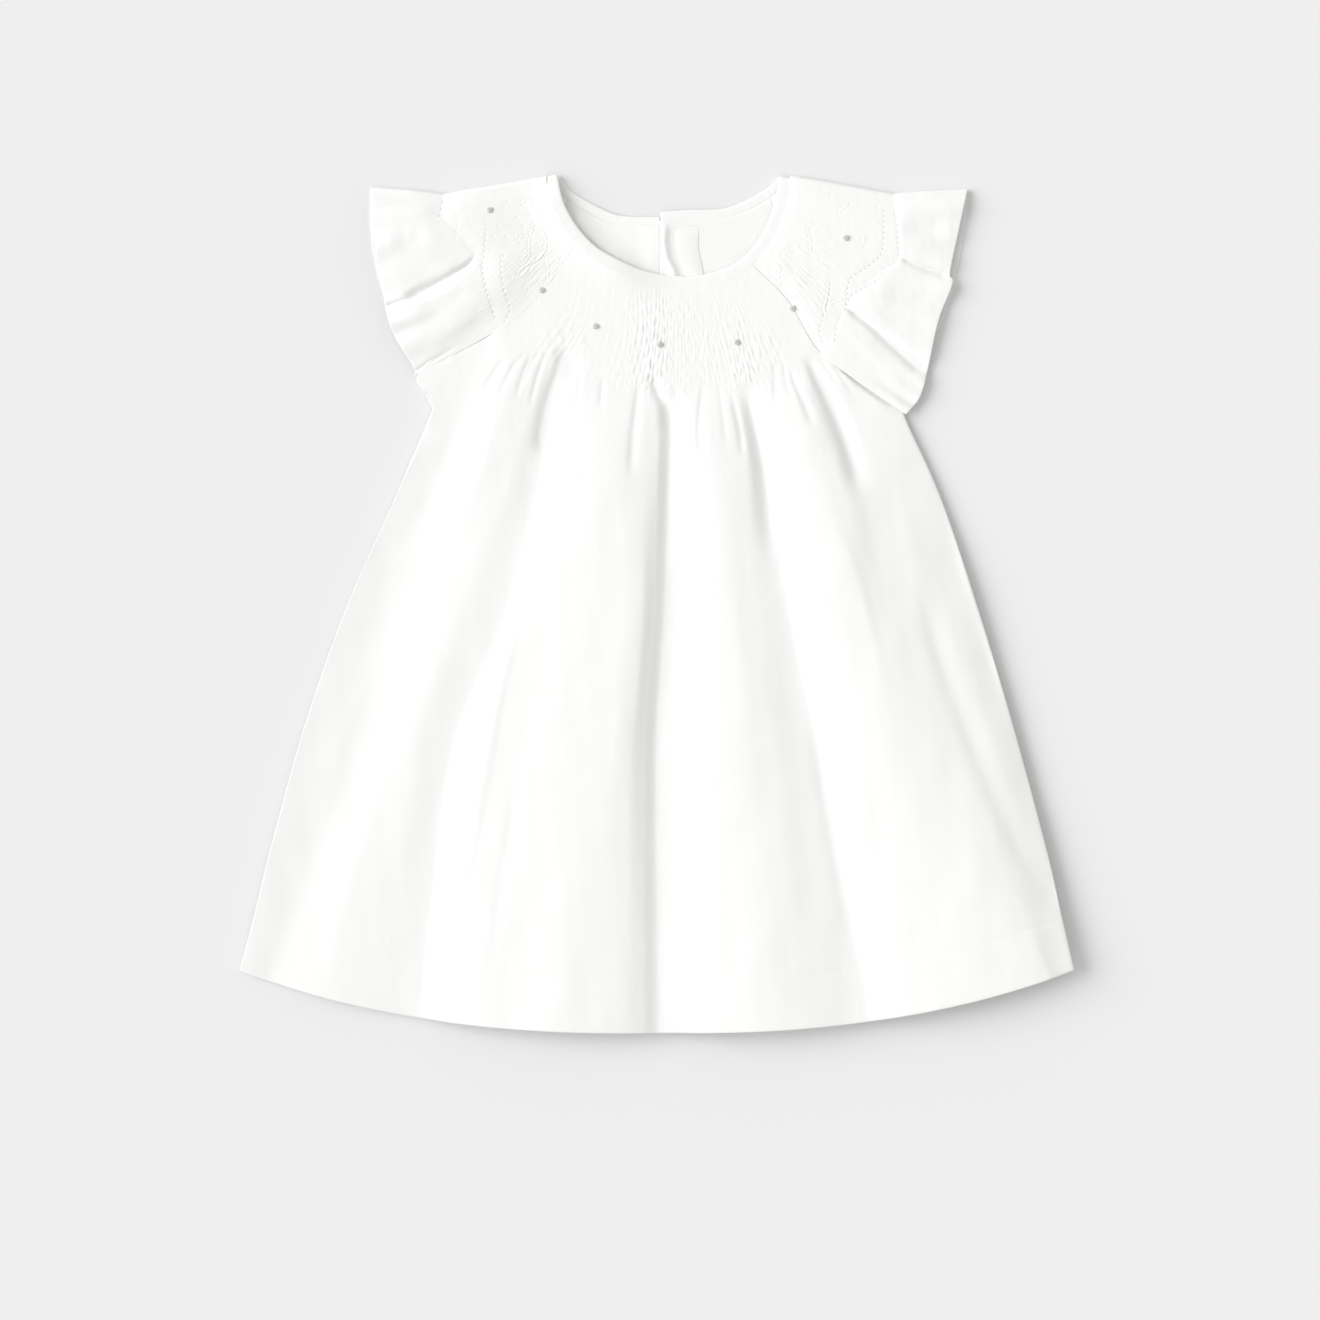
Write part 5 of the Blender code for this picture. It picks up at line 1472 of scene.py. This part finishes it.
def make_rosettes(name, tree, rosette, thread):
    """Small knots of embroidery thread, each wound twice round and tucked in."""
    steps, sides = ROSETTE_STEPS, THREAD_SIDES
    thick = rosette.thread / MM
    reach = 0.5 * (rosette.width / MM) - thick
    at = np.linspace(0.0, 1.0, steps)
    girth = (thick * (1.0 - 0.55 * np.abs(2.0 * at - 1.0) ** 8))[:, None, None]
    round_ = (math.tau * np.arange(sides) / sides)[None, :, None]
    points, fours, threes = [], [], []
    for number, (x, y, turn) in enumerate(ROSETTES):
        place, _ = drop_on(tree, x, y)
        angle = turn + at * math.tau * ROSETTE_TURNS
        radius = reach * np.interp(at, *ROSETTE_SPREAD) * (1.0 + 0.10 * np.sin(angle * 3.0 + number))
        height = place.z / MM - ROSETTE_SINK + thick * np.interp(at, *ROSETTE_RISE)
        centre = np.stack([x + radius * np.cos(angle), y + 0.92 * radius * np.sin(angle), height], axis=-1)
        run = unit(np.gradient(centre, axis=0))
        aside = unit(np.cross(run, np.array([0.0, 0.0, 1.0])))
        up = np.cross(aside, run)
        ring = centre[:, None] + (aside[:, None] * np.cos(round_) + up[:, None] * np.sin(round_)) * girth
        count = number * (steps * sides + 2)
        index = np.arange(steps * sides).reshape(steps, sides) + count
        following = np.roll(index, -1, axis=1)
        tip, end = count + steps * sides, count + steps * sides + 1
        points += [ring.reshape(-1, 3), centre[[0, -1]]]
        sides_round = np.stack([index[:-1], index[1:], following[1:], following[:-1]], axis=-1)
        fours.append(sides_round.reshape(-1, 4))
        threes.append(np.stack([np.full(sides, tip), index[0], following[0]], axis=-1))
        threes.append(np.stack([np.full(sides, end), following[-1], index[-1]], axis=-1))
    return turn_out(mesh_object(name, points, fours, threes, [part[:, :2] for part in points], thread))


# ---------------------------------------------------------------------------------------------------------
# Settings, operators and panel.

class DressCloth(bpy.types.PropertyGroup):
    """The dress's cloth."""
    colour: FloatVectorProperty(name="Colour", description="Colour of the cloth", subtype="COLOR",
                                default=(0.896, 0.8955, 0.882), min=0.0, max=1.0)
    slub_colour: FloatVectorProperty(name="Slub colour", description="Colour between the thicker threads",
                                     subtype="COLOR", default=(0.869, 0.8685, 0.856), min=0.0, max=1.0)
    roughness: FloatProperty(name="Roughness", description="Roughness of the cloth", default=0.88, min=0.0,
                             max=1.0)
    sheen: FloatProperty(name="Sheen", description="Nap of the cloth", default=0.06, min=0.0, max=1.0)
    thread_spacing: FloatProperty(name="Thread spacing", description="Spacing of the weave",
                                  default=0.00045, min=0.0001, max=0.002, unit="LENGTH", precision=5)
    weave: FloatProperty(name="Weave", description="Height of the weave", default=0.22, min=0.0, max=1.0)
    slubs: FloatProperty(name="Slubs", description="Height of the uneven threads", default=0.7, min=0.0,
                         max=1.0)


class DressStitch(bpy.types.PropertyGroup):
    """The stitches of the seams."""
    length: FloatProperty(name="Length", description="Length of a stitch", default=0.0012, min=0.0005,
                          max=0.005, unit="LENGTH", precision=4)
    spacing: FloatProperty(name="Spacing", description="From one stitch to the next", default=0.0027,
                           min=0.001, max=0.01, unit="LENGTH", precision=4)
    thickness: FloatProperty(name="Thickness", description="Thickness of the thread", default=0.0003,
                             min=0.0001, max=0.001, unit="LENGTH", precision=5)
    # The thread's default grey is painted shade: it darkens the stitches to stand for the shade in their
    # holes.
    colour: FloatVectorProperty(name="Colour", description="Colour of the sewing thread", subtype="COLOR",
                                default=(0.62, 0.615, 0.59), min=0.0, max=1.0)


class DressRosette(bpy.types.PropertyGroup):
    """The embroidered rosettes."""
    width: FloatProperty(name="Width", description="Width of a rosette", default=0.0036, min=0.002,
                         max=0.01, unit="LENGTH", precision=4)
    thread: FloatProperty(name="Thread", description="Radius of the embroidery thread", default=0.00042,
                          min=0.0001, max=0.001, unit="LENGTH", precision=5)
    colour: FloatVectorProperty(name="Colour", description="Colour of the embroidery thread",
                                subtype="COLOR", default=(0.6, 0.595, 0.56), min=0.0, max=1.0)


class DressStage(bpy.types.PropertyGroup):
    """The light, the surface and the camera."""
    key: FloatProperty(name="Key light", description="Strength of the key light", default=2.35, min=0.0,
                       max=20.0)
    key_lift: FloatProperty(name="Key lift", description="Height of the key light over the surface",
                            default=math.radians(34.0), min=0.0, max=math.radians(90.0), unit="ROTATION")
    key_turn: FloatProperty(name="Key turn", description="The side the key light comes from",
                            default=math.radians(169.0), min=0.0, max=math.tau, unit="ROTATION")
    key_spread: FloatProperty(name="Key spread", description="Softness of the key light",
                              default=math.radians(46.0), min=0.0, max=math.radians(180.0),
                              unit="ROTATION")
    fill: FloatProperty(name="Fill", description="Strength of the light from all round", default=0.68,
                        min=0.0, max=5.0)
    surface: FloatVectorProperty(name="Surface", description="Colour of the surface", subtype="COLOR",
                                 default=(0.79, 0.788, 0.79), min=0.0, max=1.0)
    view_width: FloatProperty(name="View width", description="Width of surface that the camera sees",
                              default=0.66, min=0.1, max=5.0, unit="LENGTH")
    camera_height: FloatProperty(name="Camera height", description="Height of the camera", default=3.0,
                                 min=0.5, max=10.0, unit="LENGTH")


BACK_BINDING_LIFT = 0.05         # mm, underside of the backs' bindings
UPPER_CLOTH = ("front_cloth", "sleeve_left_cloth", "sleeve_right_cloth")
SURFACE_HALF = 2.5               # m
SURFACE_LEVEL = -0.0001          # m, just clear of the cloth
KEY_COLOUR = (0.985, 0.99, 1.0)
ROOM_COLOUR = (1.0, 1.0, 0.99, 1.0)
SENSOR = 36.0                    # mm
VIEW_CENTRE = (0.00175, -0.02775)     # m, the plan place under the camera


def built(name):
    """A finished piece, by name."""
    return bpy.data.objects[name]


def declare(piece, nodes):
    """Hangs a piece of cloth on the root and hides the solids that it stands for."""
    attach(piece, "root")
    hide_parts(*nodes)


class DRESS_OT_backs(bpy.types.Operator):
    """Makes both halves of the back"""
    bl_idname = "dress.backs"
    bl_label = "Make the back"
    bl_options = {"REGISTER", "UNDO"}

    def execute(self, context):
        finish = cotton(context.scene.dress_cloth)
        for left, node in ((True, "back_left"), (False, "back_right")):
            declare(make_back(left, finish), [node])
        return {"FINISHED"}


class DRESS_OT_front(bpy.types.Operator):
    """Makes the smocked and folded front"""
    bl_idname = "dress.front"
    bl_label = "Make the front"
    bl_options = {"REGISTER", "UNDO"}

    def execute(self, context):
        piece = make_front(cotton(context.scene.dress_cloth))
        declare(piece, ["front"])
        return {"FINISHED"}


class DRESS_OT_sleeves(bpy.types.Operator):
    """Makes both sleeves with their smocked heads and flounces"""
    bl_idname = "dress.sleeves"
    bl_label = "Make the sleeves"
    bl_options = {"REGISTER", "UNDO"}

    def execute(self, context):
        finish = cotton(context.scene.dress_cloth)
        for sleeve, side, flat, area in ((LEFT_SLEEVE, "left", (0.20, 0.115), 0.0165),
                                         (RIGHT_SLEEVE, "right", (0.215, 0.12), 0.0185)):
            piece = make_sleeve(sleeve, finish)
            declare(piece, ["sleeve_" + side])
        return {"FINISHED"}


class DRESS_OT_bindings(bpy.types.Operator):
    """Makes the neck's bindings and the facing of the opening"""
    bl_idname = "dress.bindings"
    bl_label = "Make the bindings"
    bl_options = {"REGISTER", "UNDO"}

    def execute(self, context):
        finish = binding_cotton(context.scene.dress_cloth)
        front = make_binding("neck_binding_front_cloth", partial(beside_curve, NECK_FRONT), FRONT_BINDING,
                             240, YOKE_LIFT, (0.6, 0.6), (2.0, 1.0), finish, neck_swell)
        left = make_binding("neck_binding_back_left_cloth", partial(back_neck_line, True), BACK_BINDING,
                            90, BACK_BINDING_LIFT, (0.0, 0.0), (3.0, 0.5), finish, back_swell)
        right = make_binding("neck_binding_back_right_cloth", partial(back_neck_line, False), BACK_BINDING,
                             90, BACK_BINDING_LIFT, (0.0, 0.0), (4.0, 0.0), finish, back_swell)
        facing = make_facing(finish)
        declare(front, ["neck_binding_front"])
        declare(left, ["neck_binding_back_left"])
        declare(right, ["neck_binding_back_right"])
        declare(facing, ["placket_facing"])
        return {"FINISHED"}


class DRESS_OT_stitching(bpy.types.Operator):
    """Sews the rows of stitches on the sleeves"""
    bl_idname = "dress.stitching"
    bl_label = "Sew the seams"
    bl_options = {"REGISTER", "UNDO"}

    def execute(self, context):
        stitch = context.scene.dress_stitch
        # The thread's grey is painted shade, standing for the shade of the stitch holes.
        thread = thread_material("Sewing thread", stitch.colour, 0.75)
        tree = surface_tree([built(name) for name in UPPER_CLOTH + ("neck_binding_front_cloth",)])
        lines = [traced(line, 60) for name, _, line in LEFT_ROWS + RIGHT_ROWS if name != "zigzag"]
        piece = make_stitches("seam_stitches", lines, tree, stitch, thread)
        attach(piece, "root")
        return {"FINISHED"}


class DRESS_OT_rosettes(bpy.types.Operator):
    """Embroiders the rosettes round the yoke"""
    bl_idname = "dress.rosettes"
    bl_label = "Embroider the rosettes"
    bl_options = {"REGISTER", "UNDO"}

    def execute(self, context):
        rosette = context.scene.dress_rosette
        thread = thread_material("Embroidery thread", rosette.colour, 0.6)
        tree = surface_tree([built(name) for name in UPPER_CLOTH])
        piece = make_rosettes("rosettes", tree, rosette, thread)
        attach(piece, "root")
        return {"FINISHED"}


class DRESS_OT_stage(bpy.types.Operator):
    """Lays the surface and sets the lights and the camera"""
    bl_idname = "dress.stage"
    bl_label = "Set the stage"
    bl_options = {"REGISTER", "UNDO"}

    def execute(self, context):
        stage = context.scene.dress_stage
        scene = context.scene
        mesh = bpy.data.meshes.new("surface")
        corners = ((-1, -1), (1, -1), (1, 1), (-1, 1))
        mesh.from_pydata([(x * SURFACE_HALF, y * SURFACE_HALF, SURFACE_LEVEL) for x, y in corners], [],
                         [(0, 1, 2, 3)])
        paper, _ = plain_material("Paper", stage.surface, Roughness=0.95, Specular_IOR_Level=0.1)
        mesh.materials.append(paper)
        surface = linked(bpy.data.objects.new("surface", mesh))

        sun = bpy.data.lights.new("key", "SUN")
        sun.energy = stage.key
        sun.angle = stage.key_spread
        sun.color = KEY_COLOUR
        lamp = linked(bpy.data.objects.new("key", sun))
        way = Vector((math.cos(stage.key_turn) * math.cos(stage.key_lift),
                      math.sin(stage.key_turn) * math.cos(stage.key_lift), math.sin(stage.key_lift)))
        lamp.rotation_euler = way.to_track_quat("Z", "Y").to_euler()
        lamp.location = way * 2.0

        world = bpy.data.worlds.new("Soft room")
        world.use_nodes = True
        back = world.node_tree.nodes["Background"]
        back.inputs["Color"].default_value = ROOM_COLOUR
        back.inputs["Strength"].default_value = stage.fill
        scene.world = world

        lens = bpy.data.cameras.new("camera")
        lens.sensor_width = SENSOR
        lens.lens = SENSOR * stage.camera_height / stage.view_width
        lens.clip_end = 50.0
        camera = linked(bpy.data.objects.new("camera", lens))
        camera.location = (*VIEW_CENTRE, stage.camera_height)
        scene.camera = camera
        scene.view_settings.view_transform = "Standard"
        return {"FINISHED"}


class DRESS_PT_panel(bpy.types.Panel):
    """The dress's settings and steps"""
    bl_idname = "DRESS_PT_panel"
    bl_label = "Smocked dress"
    bl_space_type = "VIEW_3D"
    bl_region_type = "UI"
    bl_category = "Dress"

    def draw(self, context):
        layout = self.layout
        for group, steps in ((context.scene.dress_cloth, ("backs", "front", "sleeves", "bindings")),
                             (context.scene.dress_stitch, ("stitching",)),
                             (context.scene.dress_rosette, ("rosettes",)),
                             (context.scene.dress_stage, ("stage",))):
            box = layout.box()
            for name in group.bl_rna.properties.keys():
                if name not in ("rna_type", "name"):
                    box.prop(group, name)
            for step in steps:
                box.operator("dress." + step)


SETTINGS = {"dress_cloth": DressCloth, "dress_stitch": DressStitch, "dress_rosette": DressRosette,
            "dress_stage": DressStage}
CLASSES = (*SETTINGS.values(), DRESS_OT_backs, DRESS_OT_front, DRESS_OT_sleeves, DRESS_OT_bindings,
           DRESS_OT_stitching, DRESS_OT_rosettes, DRESS_OT_stage, DRESS_PT_panel)


def register():
    """Adds the settings, the operators and the panel."""
    for item in CLASSES:
        bpy.utils.register_class(item)
    for name, group in SETTINGS.items():
        setattr(bpy.types.Scene, name, PointerProperty(type=group))


def unregister():
    """Takes them away again."""
    for name in SETTINGS:
        delattr(bpy.types.Scene, name)
    for item in reversed(CLASSES):
        bpy.utils.unregister_class(item)


def main():
    """Makes the whole dress on its stage."""
    register()
    for step in ("backs", "front", "sleeves", "bindings", "stitching", "rosettes", "stage"):
        getattr(bpy.ops.dress, step)()


if __name__ == "__main__":
    main()
